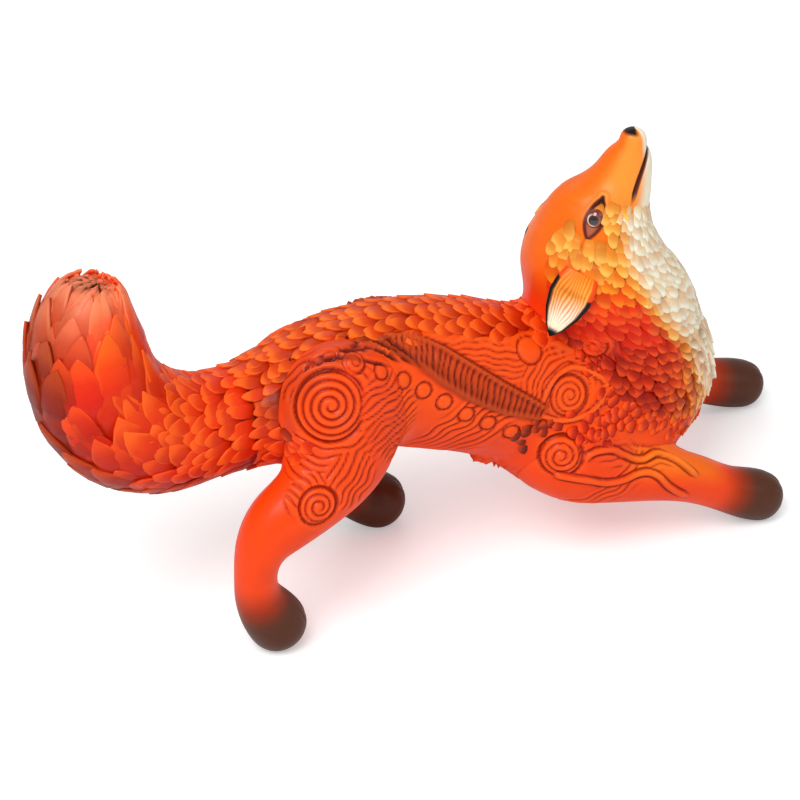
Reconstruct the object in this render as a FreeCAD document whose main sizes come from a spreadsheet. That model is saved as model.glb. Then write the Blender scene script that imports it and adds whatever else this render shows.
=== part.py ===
import FreeCAD, Part
import math
import os

# A cast and hand painted fox figurine, stretching forwards with its nose in the air.
# +X is the way the fox faces, +Y is its left side, +Z is up. The ground is z = 0, and the
# origin lies on the ground under the middle of the figure.
# The trunk is one casting. The head with its neck, the tail and the four legs are castings of
# their own. Each sits on the trunk's skin, or on its flat rump face, and is glued over a steel
# dowel that stands in a bore in both. The ears are glued to the head over small pins, and the
# glass eyes are let into sockets in the head.

Vector = FreeCAD.Vector

doc = FreeCAD.newDocument("fox_figurine")
sheet = doc.addObject("Spreadsheet::Sheet", "Sizes")

# Every driving dimension: alias, millimetres or degrees, what it is.
SIZES = (
    ("trunk_length", 133.0, "rump face to the middle of the breast"),
    ("trunk_width", 49.0, "across the chest, side to side"),
    ("trunk_depth", 52.0, "through the chest, back to breast"),
    ("hip_height", 67.0, "ground to the middle of the trunk over the hips"),
    ("rump_setback", 64.9, "origin back to the rump face"),
    ("spine_offset", 5.7, "trunk's middle plane, to the right of the origin"),
    ("tail_reach", 43.1, "rump face back to the middle of the tail brush"),
    ("tail_rise", 46.5, "rump face's centre up to the tail's tip"),
    ("tail_thickness", 36.5, "through the tail brush at its bend"),
    ("head_height", 94.3, "foot of the neck up to the tip of the nose"),
    ("head_lean", 14.5, "how far the nape lies behind the foot of the neck"),
    ("head_sway", 6.0, "how far the nose is turned to the right"),
    ("neck_width", 49.0, "through the neck and its ruff"),
    ("skull_width", 35.6, "through the skull behind the eyes"),
    ("muzzle_width", 14.4, "through the muzzle, halfway along it"),
    ("head_twist", 16.0, "degrees by which the head turns about its own length"),
    ("face_tilt", 20.0, "degrees by which the face leans forwards from straight up"),
    ("thigh_width", 32.4, "front to back over the thigh"),
    ("shin_width", 12.0, "through the hind shin"),
    ("hind_foot_width", 17.0, "across a hind paw"),
    ("forearm_width", 14.4, "through the forearm"),
    ("fore_foot_width", 15.2, "across a fore paw"),
    ("right_hind_stride", 22.6, "hip back to the right hind paw"),
    ("left_hind_stride", 27.6, "hip forward to the left hind paw"),
    ("right_fore_reach", 60.8, "elbow forward to the right fore paw"),
    ("left_fore_reach", 88.2, "elbow forward to the left fore paw"),
    ("right_hind_splay", 5.5, "middle of the right thigh out to the middle of its paw"),
    ("left_hind_splay", 7.5, "middle of the left thigh out to the middle of its paw"),
    ("right_fore_splay", 5.0, "right elbow out to the middle of its paw"),
    ("left_fore_splay", 17.8, "left elbow out to the middle of its paw"),
    ("sole_depth", 0.6, "how deep the round of a paw is cut off by the ground"),
    ("ear_length", 17.0, "root to tip of an ear"),
    ("ear_width", 12.4, "across an ear"),
    ("ear_thickness", 5.2, "through an ear before its inside is hollowed"),
    ("ear_wall", 1.6, "wall of the ear behind its hollow"),
    ("ear_place", 32.0, "degrees from the side of the head up to an ear's root"),
    ("right_ear_turn", 13.0, "degrees by which the right ear's tip turns to the crown"),
    ("left_ear_turn", 0.0, "degrees by which the left ear's tip turns to the crown"),
    ("right_ear_lift", 20.0, "degrees between the right ear and the neck"),
    ("left_ear_lift", 10.0, "degrees between the left ear and the neck"),
    ("eye_width", 5.8, "across a glass eye, corner to corner"),
    ("eye_height", 4.6, "across a glass eye, lid to lid"),
    ("eye_depth", 3.6, "front to back of a glass eye"),
    ("eye_place", 26.0, "degrees from the side of the head up to an eye"),
    ("neck_dowel_width", 6.0, "neck dowel's diameter"),
    ("neck_dowel_length", 32.0, "neck dowel's length"),
    ("tail_dowel_width", 5.0, "tail dowel's diameter"),
    ("tail_dowel_length", 28.0, "tail dowel's length"),
    ("leg_dowel_width", 3.0, "leg dowels' diameter"),
    ("leg_dowel_length", 9.0, "leg dowels' length"),
    ("ear_pin_width", 1.2, "ear pins' diameter"),
    ("ear_pin_length", 5.4, "ear pins' length"),
    ("ear_pin_reach", 1.4, "how far an ear pin stands out of the head into the ear's solid root"),
    ("scale_step", 1.2, "height of a row of back scales over the skin"),
    ("feather_step", 1.8, "height of a row of tail feathers over the skin"),
    ("glue_gap", 0.1, "gap for glue all round a dowel, pin or eye"),
)
for row, (alias, value, meaning) in enumerate(SIZES, start=1):
    sheet.set(f"A{row}", meaning)
    sheet.set(f"B{row}", str(value))
    sheet.setAlias(f"B{row}", alias)
doc.recompute()


def size(alias):
    """The value of one driving dimension, in millimetres or degrees."""
    return float(sheet.get(alias))


RIGHT = Vector(0, -1, 0)
FORWARD = Vector(1, 0, 0)
UP = Vector(0, 0, 1)
RING_POINTS = 16
STEEPEST_SHARE = 0.85
ROUND_END_SHARES = (0.35, 0.68, 0.92)

# Every casting is lofted through stations. Each station is a ball on a path: its thickness is a
# share of half of the casting's named thickness, and its breadth is a share of that again.

# Trunk: place along trunk_length, height over hip_height, thickness, breadth.
TRUNK_STATION_SHARES = (
    (0.00, 0.945, 0.58, 0.96),
    (0.07, 0.964, 0.63, 0.97),
    (0.15, 0.982, 0.71, 0.98),
    (0.24, 0.998, 0.78, 0.95),
    (0.34, 0.979, 0.81, 0.95),
    (0.43, 0.935, 0.84, 0.95),
    (0.52, 0.870, 0.85, 0.97),
    (0.62, 0.780, 0.88, 0.97),
    (0.72, 0.670, 0.96, 0.94),
    (0.82, 0.600, 0.94, 0.95),
    (0.90, 0.598, 0.78, 1.02),
    (0.96, 0.610, 0.56, 1.12),
    (1.00, 0.620, 0.32, 1.25),
)

# Tail: reach over tail_reach, rise over tail_rise, thickness, breadth.
TAIL_STATION_SHARES = (
    (0.239, -0.002, 0.80, 1.00),
    (0.471, 0.018, 0.89, 1.00),
    (0.745, 0.140, 0.98, 1.00),
    (0.915, 0.350, 0.96, 1.00),
    (0.975, 0.590, 0.87, 1.00),
    (0.985, 0.790, 0.70, 1.00),
    (0.955, 0.930, 0.46, 1.00),
    (0.920, 1.000, 0.24, 1.00),
)

# Neck, skull and muzzle: lean back over head_lean, rise over head_height, sway over head_sway,
# thickness, breadth, share of head_twist, share of face_tilt. Their sections stand square to the
# face, not to the path.
NECK_STATION_SHARES = (
    (0.02, 0.115, 0.00, 0.84, 0.96, 0.0, 0.7),
    (0.10, 0.185, 0.00, 1.01, 0.94, 0.0, 0.6),
    (0.15, 0.275, 0.00, 1.05, 0.92, 0.1, 0.6),
    (0.40, 0.398, 0.02, 1.06, 0.92, 0.3, 0.5),
    (0.60, 0.497, 0.05, 1.03, 0.94, 0.6, 0.5),
)
SKULL_STATION_SHARES = (
    (0.74, 0.571, 0.10, 1.31, 0.96, 0.8, 0.5),
    (0.82, 0.645, 0.18, 1.12, 0.98, 1.0, 0.7),
    (0.84, 0.715, 0.30, 0.93, 1.00, 1.0, 0.9),
    (0.78, 0.774, 0.42, 0.75, 1.00, 1.0, 1.0),
)
MUZZLE_STATION_SHARES = (
    (0.62, 0.822, 0.55, 1.42, 0.98, 1.0, 0.9),
    (0.48, 0.884, 0.72, 1.08, 0.94, 1.0, 0.6),
    (0.41, 0.940, 0.88, 0.80, 0.94, 1.0, 0.4),
    (0.39, 0.976, 1.00, 0.54, 1.00, 1.0, 0.2),
)

# Hind legs, from the hip: stride, splay, height over hip_height, thickness, breadth. The paw's
# last station rests on the ground, so its height isn't listed.
RIGHT_THIGH_STATION_SHARES = (
    (0.00, -0.10, 1.090, 0.86, 0.66),
    (0.00, 0.00, 1.040, 1.00, 0.62),
    (0.02, 0.50, 0.870, 0.94, 0.68),
    (0.45, 1.15, 0.720, 0.70, 0.82),
    (0.94, 1.35, 0.624, 0.58, 0.92),
)
LEFT_THIGH_STATION_SHARES = (
    (0.00, -0.10, 0.960, 0.76, 0.66),
    (0.02, 0.12, 0.910, 0.88, 0.66),
    (0.22, 0.40, 0.780, 0.80, 0.72),
    (0.46, 0.80, 0.610, 0.66, 0.84),
    (0.52, 1.00, 0.480, 0.52, 0.94),
)
RIGHT_SHIN_STATION_SHARES = (
    (1.21, 1.50, 0.531, 1.17, 1.00),
    (1.29, 1.45, 0.379, 0.99, 1.00),
    (1.22, 1.20, 0.260, 1.12, 1.00),
)
LEFT_SHIN_STATION_SHARES = (
    (0.51, 1.05, 0.340, 1.12, 1.00),
    (0.64, 1.00, 0.210, 1.08, 1.00),
    (0.84, 1.00, 0.140, 1.20, 1.00),
)

# Forelegs, from the elbow: reach, splay, height over hip_height, thickness, breadth.
UPPER_FORELEG_STATION_SHARES = (
    (-0.06, -0.40, 0.510, 1.50, 0.84),
    (0.02, 0.00, 0.492, 1.70, 0.80),
    (0.20, 0.40, 0.412, 1.34, 0.90),
    (0.40, 0.80, 0.362, 1.12, 0.96),
    (0.62, 1.00, 0.290, 1.00, 1.00),
    (0.82, 1.00, 0.184, 0.96, 1.00),
)

# Where the legs and the neck stand along the trunk, and how high the neck's foot is.
HIP_SHARE = 0.174
HIP_SPREAD_SHARE = 0.61
ELBOW_SHARE = 0.702
ELBOW_SPREAD_SHARE = 0.69
NECK_FOOT_SHARE = 0.910
NECK_FOOT_HEIGHT_SHARE = 0.49

# How far out from the middle of a leg's second station, in shares of its half width, the leg's
# dowel has its middle.
LEG_SEAT_SHARE = 0.28

# Where the eyes and ears sit: a ring of the head, and the share of the way on to the next one. An
# eye's middle lies under the skin by a share of the eye's depth.
EYE_RING_SHARE = 7.7
EAR_RING_SHARE = 5.25
EYE_SINK_SHARE = 0.25

# The rows in which the scales of the back and the feathers of the tail lie over each other. Each row
# starts and ends at a ring of the trunk or the tail, or a share of the way on to the next one.
BACK_ROWS = ((7.8, 6.5), (6.7, 5.4), (5.6, 4.3), (4.5, 3.2), (3.4, 2.1), (2.3, 1.0))
TAIL_ROWS = ((0.5, 1.7), (1.5, 2.8), (2.6, 3.9), (3.7, 5.0), (4.7, 6.0))
ROW_START_SHARE = -0.4
ROW_MIDDLE_SHARE = 0.45

# An ear and its hollow: place along ear_length, width, thickness.
EAR_STATION_SHARES = (
    (-0.12, 0.78, 0.70),
    (0.06, 0.95, 0.95),
    (0.32, 1.00, 1.00),
    (0.60, 0.78, 0.82),
    (0.84, 0.42, 0.52),
    (0.97, 0.14, 0.20),
)
HOLLOW_WIDTH_SHARE = 0.76
HOLLOW_FIRST_SHARE = 0.24
HOLLOW_LAST_SHARE = 0.90


def ring(centre, along, side, half_width, half_depth):
    """A closed smooth ring round centre: an ellipse square to along, with its width along side."""
    along = Vector(along).normalize()
    side = (side - along * side.dot(along)).normalize()
    upward = side.cross(along)
    points = []
    for number in range(RING_POINTS):
        angle = 2 * math.pi * number / RING_POINTS
        across = side * (half_width * math.cos(angle))
        points.append(centre + across + upward * (half_depth * math.sin(angle)))
    curve = Part.BSplineCurve()
    curve.interpolate(Points=points, PeriodicFlag=True)
    return Part.Wire([curve.toShape()])


def loft(name, rings):
    """A solid lofted through rings, each a document object of its own."""
    sections = []
    for number, (centre, along, side, half_width, half_depth) in enumerate(rings, start=1):
        section = doc.addObject("Part::Feature", f"{name}_ring_{number}")
        section.Shape = ring(centre, along, side, half_width, half_depth)
        sections.append(section)
    solid = doc.addObject("Part::Loft", name)
    solid.Sections = sections
    solid.Solid = True
    return solid


def skin_rings(stations):
    """The rings along which the balls of the stations touch their common skin, and its slopes there."""
    last = len(stations) - 1
    rings = []
    slopes = []
    for number, (centre, side, half_width, half_depth) in enumerate(stations):
        before = stations[max(number - 1, 0)]
        after = stations[min(number + 1, last)]
        step = after[0] - before[0]
        slope = (after[3] - before[3]) / step.Length
        slope = max(-STEEPEST_SHARE, min(STEEPEST_SHARE, slope))
        across = math.sqrt(1 - slope * slope)
        along = step.normalize()
        middle = centre - along * (half_depth * slope)
        rings.append((middle, along, side, half_width * across, half_depth * across))
        slopes.append(slope)
    return rings, slopes


def round_end(last_ring, outward, rise=0):
    """The rings that round off a casting beyond its last ring, which stands rise over the ball's middle."""
    middle, along, side, half_width, half_depth = last_ring
    start = math.asin(rise)
    across = math.cos(start)
    rings = []
    for share in ROUND_END_SHARES:
        turn = start + (math.pi / 2 - start) * share
        place = middle + outward * (half_depth / across * (math.sin(turn) - math.sin(start)))
        shrink = math.cos(turn) / across
        rings.append((place, along, side, half_width * shrink, half_depth * shrink))
    return rings


def casting(name, stations, flat_first=None):
    """A solid lofted through ball stations. It starts round, or flat and square to flat_first."""
    rings, slopes = skin_rings(stations)
    far_end = round_end(rings[-1], rings[-1][1], -slopes[-1])
    if flat_first is None:
        rings = round_end(rings[0], -rings[0][1], slopes[0])[::-1] + rings
    else:
        centre, side, half_width, half_depth = stations[0]
        rings[0] = (centre, flat_first, side, half_width, half_depth)
    return loft(name, rings + far_end)


# Trunk
middle_y = -size("spine_offset")


def trunk_point(along_share, height_share):
    """A point of the trunk's middle plane."""
    x = along_share * size("trunk_length") - size("rump_setback")
    return Vector(x, middle_y, height_share * size("hip_height"))


trunk_stations = []
for along, height, thick, wide in TRUNK_STATION_SHARES:
    half_width = thick * wide * size("trunk_width") / 2
    half_depth = thick * size("trunk_depth") / 2
    trunk_stations.append((trunk_point(along, height), RIGHT, half_width, half_depth))
trunk_skin = casting("trunk_skin", trunk_stations, flat_first=FORWARD)

# Tail
rump_centre, _, rump_half_width, rump_half_depth = trunk_stations[0]
tail_half = size("tail_thickness") / 2
tail_stations = [(rump_centre, RIGHT, rump_half_width, rump_half_depth)]
for reach, rise, thick, wide in TAIL_STATION_SHARES:
    centre = rump_centre + Vector(-reach * size("tail_reach"), 0, rise * size("tail_rise"))
    tail_stations.append((centre, RIGHT, thick * wide * tail_half, thick * tail_half))
tail_skin = casting("tail_skin", tail_stations, flat_first=-FORWARD)

# Head and neck
neck_foot = trunk_point(NECK_FOOT_SHARE, NECK_FOOT_HEIGHT_SHARE)
head_rings = []
for table, width_alias in (
    (NECK_STATION_SHARES, "neck_width"),
    (SKULL_STATION_SHARES, "skull_width"),
    (MUZZLE_STATION_SHARES, "muzzle_width"),
):
    for lean, rise, sway, thick, wide, twist, tilt in table:
        place = Vector(-lean * size("head_lean"), -sway * size("head_sway"), rise * size("head_height"))
        along = FreeCAD.Rotation(-RIGHT, tilt * size("face_tilt")).multVec(UP)
        side = FreeCAD.Rotation(along, -twist * size("head_twist")).multVec(RIGHT)
        half = thick * size(width_alias) / 2
        head_rings.append((neck_foot + place, along, side, half * wide, half))
neck_end = round_end(head_rings[0], -head_rings[0][1])
nose_end = round_end(head_rings[-1], head_rings[-1][1])
head_skin = loft("head_skin", neck_end[::-1] + head_rings + nose_end)


# Legs
def leg(name, joint, sign, stride, splay, tables, foot):
    """A leg from inside the trunk down to its paw, whose ball the ground cuts off at sole_depth."""
    stations = []
    for table, width_alias in tables:
        half = size(width_alias) / 2
        for reach, out, height, thick, wide in table:
            place = Vector(reach * stride, sign * out * splay, height * size("hip_height"))
            stations.append((joint + place, RIGHT, half * thick * wide, half * thick))
    half = size(foot) / 2
    place = Vector(stride, sign * splay, half - size("sole_depth"))
    stations.append((joint + place, RIGHT, half, half))
    return casting(name, stations), stations


hip = trunk_point(HIP_SHARE, 0)
elbow = trunk_point(ELBOW_SHARE, 0)
hip_spread = HIP_SPREAD_SHARE * size("trunk_width") / 2
elbow_spread = ELBOW_SPREAD_SHARE * size("trunk_width") / 2
right_hip = hip - Vector(0, hip_spread, 0)
left_hip = hip + Vector(0, hip_spread, 0)
right_elbow = elbow - Vector(0, elbow_spread, 0)
left_elbow = elbow + Vector(0, elbow_spread, 0)
right_hind_tables = ((RIGHT_THIGH_STATION_SHARES, "thigh_width"), (RIGHT_SHIN_STATION_SHARES, "shin_width"))
left_hind_tables = ((LEFT_THIGH_STATION_SHARES, "thigh_width"), (LEFT_SHIN_STATION_SHARES, "shin_width"))
fore_tables = ((UPPER_FORELEG_STATION_SHARES, "forearm_width"),)
right_hind_skin, right_hind_stations = leg(
    "right_hind_skin", right_hip, -1, -size("right_hind_stride"), size("right_hind_splay"),
    right_hind_tables, "hind_foot_width",
)
left_hind_skin, left_hind_stations = leg(
    "left_hind_skin", left_hip, 1, size("left_hind_stride"), size("left_hind_splay"),
    left_hind_tables, "hind_foot_width",
)
right_fore_skin, right_fore_stations = leg(
    "right_fore_skin", right_elbow, -1, size("right_fore_reach"), size("right_fore_splay"),
    fore_tables, "fore_foot_width",
)
left_fore_skin, left_fore_stations = leg(
    "left_fore_skin", left_elbow, 1, size("left_fore_reach"), size("left_fore_splay"),
    fore_tables, "fore_foot_width",
)


# Rows of scales and feathers
def between(rings, ring_share):
    """The ring a share of the way from one ring to the next."""
    number = int(ring_share)
    share = ring_share - number
    (near, near_along, side, near_width, near_depth) = rings[number]
    (far, far_along, _, far_width, far_depth) = rings[number + 1]
    along = (near_along * (1 - share) + far_along * share).normalize()
    half_width = near_width + (far_width - near_width) * share
    half_depth = near_depth + (far_depth - near_depth) * share
    return near + (far - near) * share, along, side, half_width, half_depth


def row(name, rings, start, end, step, one_sided):
    """A row that rises out of the skin from start to a step at end, all round or on the back alone."""
    sections = []
    for share, height in ((start, ROW_START_SHARE), ((start + end) / 2, ROW_MIDDLE_SHARE), (end, 1)):
        middle, along, side, half_width, half_depth = between(rings, share)
        rise = height * step
        if one_sided:
            upward = side.cross(along).normalize()
            middle = middle + upward * step
            sections.append((middle, along, side, half_width - step, half_depth + rise - step))
        else:
            sections.append((middle, along, side, half_width + rise, half_depth + rise))
    return loft(name, sections)


def fuse(name, solids):
    """Solids joined into one."""
    joined = doc.addObject("Part::MultiFuse", name)
    joined.Shapes = solids
    return joined


trunk_rings, _ = skin_rings(trunk_stations)
back_rows = []
for number, (start, end) in enumerate(BACK_ROWS, start=1):
    back_rows.append(row(f"back_row_{number}", trunk_rings, start, end, size("scale_step"), True))
tail_rings, _ = skin_rings(tail_stations)
tail_rows = []
for number, (start, end) in enumerate(TAIL_ROWS, start=1):
    tail_rows.append(row(f"tail_row_{number}", tail_rings, start, end, size("feather_step"), False))


# Ears
def on_head(ring_share, degrees, sign):
    """A point of the head's skin: the point, the way out, the way to the nose, the way to the crown."""
    middle, _, _, half_width, half_depth = between(head_rings, ring_share)
    _, along, side, _, _ = head_rings[int(ring_share)]
    side = (side - along * side.dot(along)).normalize()
    crown = side.cross(along)
    turn = math.radians(degrees)
    point = middle + side * (-sign * half_width * math.cos(turn)) + crown * (half_depth * math.sin(turn))
    outward = side * (-sign * half_depth * math.cos(turn)) + crown * (half_width * math.sin(turn))
    outward.normalize()
    nose = (along - outward * along.dot(outward)).normalize()
    crownward = (crown - outward * crown.dot(outward)).normalize()
    return point, outward, nose, crownward


def ear(name, sign):
    """An ear and its frame: the leaf of the ear with its hollow, before it is fitted to the head."""
    root, outward, nose, crown = on_head(EAR_RING_SHARE, size("ear_place"), sign)
    turn = math.radians(size(f"{name}_turn"))
    lift = math.radians(size(f"{name}_lift"))
    lying = crown * math.sin(turn) - nose * math.cos(turn)
    along = lying * math.cos(lift) + outward * math.sin(lift)
    facing = outward * math.cos(lift) - lying * math.sin(lift)
    across = along.cross(facing)
    half_width = size("ear_width") / 2
    half_thickness = size("ear_thickness") / 2
    leaf = []
    hollow = []
    for place, wide, thick in EAR_STATION_SHARES:
        centre = root + along * (place * size("ear_length"))
        leaf.append((centre, along, across, wide * half_width, thick * half_thickness))
        inner = HOLLOW_FIRST_SHARE + place * (HOLLOW_LAST_SHARE - HOLLOW_FIRST_SHARE)
        centre = root + along * (inner * size("ear_length")) + facing * size("ear_wall")
        narrow = HOLLOW_WIDTH_SHARE * wide * half_width
        hollow.append((centre, along, across, narrow, thick * half_thickness))
    return loft(name + "_leaf", leaf), loft(name + "_hollow", hollow), root, outward


right_ear_leaf, right_ear_hollow, right_ear_root, right_ear_out = ear("right_ear", -1)
left_ear_leaf, left_ear_hollow, left_ear_root, left_ear_out = ear("left_ear", 1)


# Eyes
def eye(name, sign, grow=""):
    """A glass eye, an ellipsoid sunk into the head. With grow it is the socket that holds the eye."""
    place, outward, nose, crown = on_head(EYE_RING_SHARE, size("eye_place"), sign)
    glass = doc.addObject("Part::Ellipsoid", name)
    glass.setExpression("Radius1", "Sizes.eye_depth / 2" + grow)
    glass.setExpression("Radius2", "Sizes.eye_width / 2" + grow)
    glass.setExpression("Radius3", "Sizes.eye_height / 2" + grow)
    turn = FreeCAD.Rotation(nose, outward.cross(nose), outward, "ZXY")
    glass.Placement = FreeCAD.Placement(place - outward * (EYE_SINK_SHARE * size("eye_depth")), turn)
    return glass


right_eye = eye("right_eye", -1)
left_eye = eye("left_eye", 1)
sockets = [
    eye("right_socket", -1, " + Sizes.glue_gap"),
    eye("left_socket", 1, " + Sizes.glue_gap"),
]


# Dowels and pins
def dowel(name, kind, middle, direction):
    """A round bar with its middle at a point and its length along a direction, and its bore."""
    direction = Vector(direction).normalize()
    turn = FreeCAD.Rotation(UP, direction)
    bars = []
    for label, grow in ((name, ""), (name + "_bore", " + Sizes.glue_gap")):
        bar = doc.addObject("Part::Cylinder", label)
        bar.setExpression("Radius", f"Sizes.{kind}_width / 2{grow}")
        bar.setExpression("Height", f"Sizes.{kind}_length{grow}{grow}")
        length = size(f"{kind}_length") + (2 * size("glue_gap") if grow else 0)
        bar.Placement = FreeCAD.Placement(middle - direction * (length / 2), turn)
        bars.append(bar)
    return bars


def leg_dowel(name, stations, sign):
    """A dowel across a leg's seat, from the thigh or elbow into the trunk."""
    centre, _, half_width, _ = stations[1]
    seat = centre + Vector(0, sign * LEG_SEAT_SHARE * half_width, 0)
    return dowel(name, "leg_dowel", seat, RIGHT)


neck_seat, _, _, neck_seat_half = min(trunk_stations, key=lambda station: abs(station[0].x - neck_foot.x))
neck_lean = head_rings[len(NECK_STATION_SHARES) - 1][0] - head_rings[0][0]
neck_dowel, neck_bore = dowel("neck_dowel", "neck_dowel", neck_seat + UP * neck_seat_half, neck_lean)
tail_dowel, tail_bore = dowel("tail_dowel", "tail_dowel", rump_centre, FORWARD)
right_hind_dowel, right_hind_bore = leg_dowel("right_hind_dowel", right_hind_stations, -1)
left_hind_dowel, left_hind_bore = leg_dowel("left_hind_dowel", left_hind_stations, 1)
right_fore_dowel, right_fore_bore = leg_dowel("right_fore_dowel", right_fore_stations, -1)
left_fore_dowel, left_fore_bore = leg_dowel("left_fore_dowel", left_fore_stations, 1)
ear_pin_depth = size("ear_pin_length") / 2 - size("ear_pin_reach")
right_ear_seat = right_ear_root - right_ear_out * ear_pin_depth
left_ear_seat = left_ear_root - left_ear_out * ear_pin_depth
right_ear_pin, right_ear_bore = dowel("right_ear_pin", "ear_pin", right_ear_seat, right_ear_out)
left_ear_pin, left_ear_bore = dowel("left_ear_pin", "ear_pin", left_ear_seat, left_ear_out)


# Fitting: each casting is cut to its seat, and its bores and sockets are sunk
def cut(name, base, tools):
    """base with each of the tools taken away, one cut after another. The last has the name."""
    result = base
    for number, tool in enumerate(tools, start=1):
        step = name if number == len(tools) else f"{name}_cut_{number}"
        taken = doc.addObject("Part::Cut", step)
        taken.Base = result
        taken.Tool = tool
        result = taken
    return result


ground = doc.addObject("Part::Box", "ground")
ground.setExpression("Length", "(Sizes.trunk_length + Sizes.tail_reach + Sizes.left_fore_reach) * 2")
ground.setExpression("Width", "Sizes.trunk_length * 2")
ground.setExpression("Height", "Sizes.hip_height")
doc.recompute()
ground.Placement = FreeCAD.Placement(
    Vector(-ground.Length.Value / 2, -ground.Width.Value / 2, -ground.Height.Value),
    FreeCAD.Rotation(),
)
hind_skins = [right_hind_skin, left_hind_skin]
scaled_back = cut("scaled_back", fuse("back_rows", back_rows), hind_skins + [head_skin])
scaled_trunk = fuse("scaled_trunk", [trunk_skin, scaled_back])
feathered_tail = tail_skin
for number, feathers in enumerate(tail_rows, start=1):
    feathered_tail = fuse(f"feathered_tail_{number}", [feathered_tail, feathers])
leg_bores = [right_hind_bore, left_hind_bore, right_fore_bore, left_fore_bore]
ear_bores = [right_ear_bore, left_ear_bore]
nodes = [
    cut("trunk", scaled_trunk, [neck_bore, tail_bore] + leg_bores),
    cut("head", head_skin, [trunk_skin, neck_bore] + sockets + ear_bores),
    cut("tail", feathered_tail, [tail_bore]),
    cut("right_hind_leg", right_hind_skin, [trunk_skin, ground, right_hind_bore]),
    cut("left_hind_leg", left_hind_skin, [trunk_skin, ground, left_hind_bore]),
    cut("right_foreleg", right_fore_skin, [trunk_skin, ground, right_fore_bore]),
    cut("left_foreleg", left_fore_skin, [trunk_skin, ground, left_fore_bore]),
    cut("right_ear", right_ear_leaf, [right_ear_hollow, head_skin, right_ear_bore]),
    cut("left_ear", left_ear_leaf, [left_ear_hollow, head_skin, left_ear_bore]),
    right_eye,
    left_eye,
    neck_dowel,
    tail_dowel,
    right_hind_dowel,
    left_hind_dowel,
    right_fore_dowel,
    left_fore_dowel,
    right_ear_pin,
    left_ear_pin,
]

doc.recompute()
for feature in doc.Objects:
    faults = {"Invalid", "Error"} & set(feature.State)
    if faults:
        raise RuntimeError(f"{feature.Name} is {sorted(faults)}")
for joined, skin in ((scaled_trunk, trunk_skin), (feathered_tail, tail_skin)):
    if joined.Shape.Volume < skin.Shape.Volume:
        raise RuntimeError(f"{joined.Name} has lost part of its skin")
for node in nodes:
    node.Label = node.Name
    if node.Shape.isNull() or not node.Shape.isValid():
        raise RuntimeError(f"{node.Label} has no valid shape")
    if len(node.Shape.Solids) != 1:
        raise RuntimeError(f"{node.Label} is {len(node.Shape.Solids)} solids")

os.makedirs("parts", exist_ok=True)
for node in nodes:
    node.Shape.exportStep(f"parts/{node.Label}.step")
    box = node.Shape.BoundBox
    print(f"{node.Label}: {box.XLength:.1f} x {box.YLength:.1f} x {box.ZLength:.1f} mm")
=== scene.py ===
"""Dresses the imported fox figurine: carved castings, overlapping scales and feathers, hand painting.

Shapes are worked out in millimetres and put into the meshes in metres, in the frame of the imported
model: +X is the way the fox faces, +Z is up, and its right side faces -Y.
"""

import logging
import math
from dataclasses import dataclass, replace
from enum import Enum

import bpy
import numpy as np
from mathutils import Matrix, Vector

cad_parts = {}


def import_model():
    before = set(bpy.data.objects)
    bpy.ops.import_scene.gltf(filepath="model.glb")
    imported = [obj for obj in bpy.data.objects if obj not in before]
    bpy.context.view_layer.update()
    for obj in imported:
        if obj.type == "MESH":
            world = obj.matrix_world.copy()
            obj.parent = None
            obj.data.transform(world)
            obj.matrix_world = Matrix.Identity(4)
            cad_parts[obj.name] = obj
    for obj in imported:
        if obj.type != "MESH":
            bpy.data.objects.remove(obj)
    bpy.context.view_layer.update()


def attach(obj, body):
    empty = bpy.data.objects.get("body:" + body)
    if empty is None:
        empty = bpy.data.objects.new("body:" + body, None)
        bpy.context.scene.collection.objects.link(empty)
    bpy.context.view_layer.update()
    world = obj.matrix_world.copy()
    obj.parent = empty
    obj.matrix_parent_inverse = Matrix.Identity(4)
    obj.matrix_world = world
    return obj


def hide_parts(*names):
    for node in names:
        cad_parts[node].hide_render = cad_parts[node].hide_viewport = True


Array = np.ndarray
Piece = bpy.types.Object
LOG = logging.getLogger("fox")

MM = 0.001
RIGHT = np.array((0.0, -1.0, 0.0))
FORWARD = np.array((1.0, 0.0, 0.0))
UP = np.array((0.0, 0.0, 1.0))
WHITE = (1.0, 1.0, 1.0, 1.0)

# The forms: the most a ball may grow on the way to the next, the rings of a rounded end, the gap of
# points too far off, the gap at which skins begin to blend, and the samples, the points worked on at
# once and the small step for slopes.
STEEPEST = 0.85
END_SHARES = (0.35, 0.68, 0.92, 1.0)
FAR = 1.0e3
FILLET = 8.0
SAMPLES = 90
CHUNK = 16000
NUDGE = 0.05

# The surfaces: the hollow at which the painted shade is darkest, how much deeper than its bed a leaf
# starts, the wall under its rim, and how strong the stain on the flank's feather is.
FULL_SHADE = 0.35
LEAF_SINK = 0.25
LEAF_WALL = 0.4
PLUME_STAIN = 0.85

# Places that several pieces share: x and z of four coils, and the eye's place along the head's rings
# and its turn up from the side, in degrees.
SMALL_COIL = (34.3, 69.6)
SHOULDER_COIL = (26.0, 57.1)
ELBOW_COIL = (22.0, 40.2)
THIGH_COIL = (-47.9, 74.9)
EYE_RING = 7.7
EYE_TURN = 26.0


class Paint(Enum):
    """The paints on the fox, as screen colours."""

    ORANGE = "#FA4E0C"
    RED = "#F0390A"
    AMBER = "#FF8C14"
    GOLD = "#FDB64A"
    CREAM = "#FFF5DA"
    ROSE = "#FF9468"
    RUST = "#A02E08"
    UMBER = "#5E1E10"
    PAW = "#57301F"
    BLACK = "#17110F"

    def rgb(self) -> Array:
        """The colour as linear light."""
        code = np.array([int(self.value[n:n + 2], 16) for n in (1, 3, 5)]) / 255.0
        return np.where(code <= 0.04045, code / 12.92, ((code + 0.055) / 1.055) ** 2.4)


def unit(vectors: Array) -> Array:
    """The vectors at length one."""
    return vectors / np.maximum(np.linalg.norm(vectors, axis=-1, keepdims=True), 1e-12)


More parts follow.
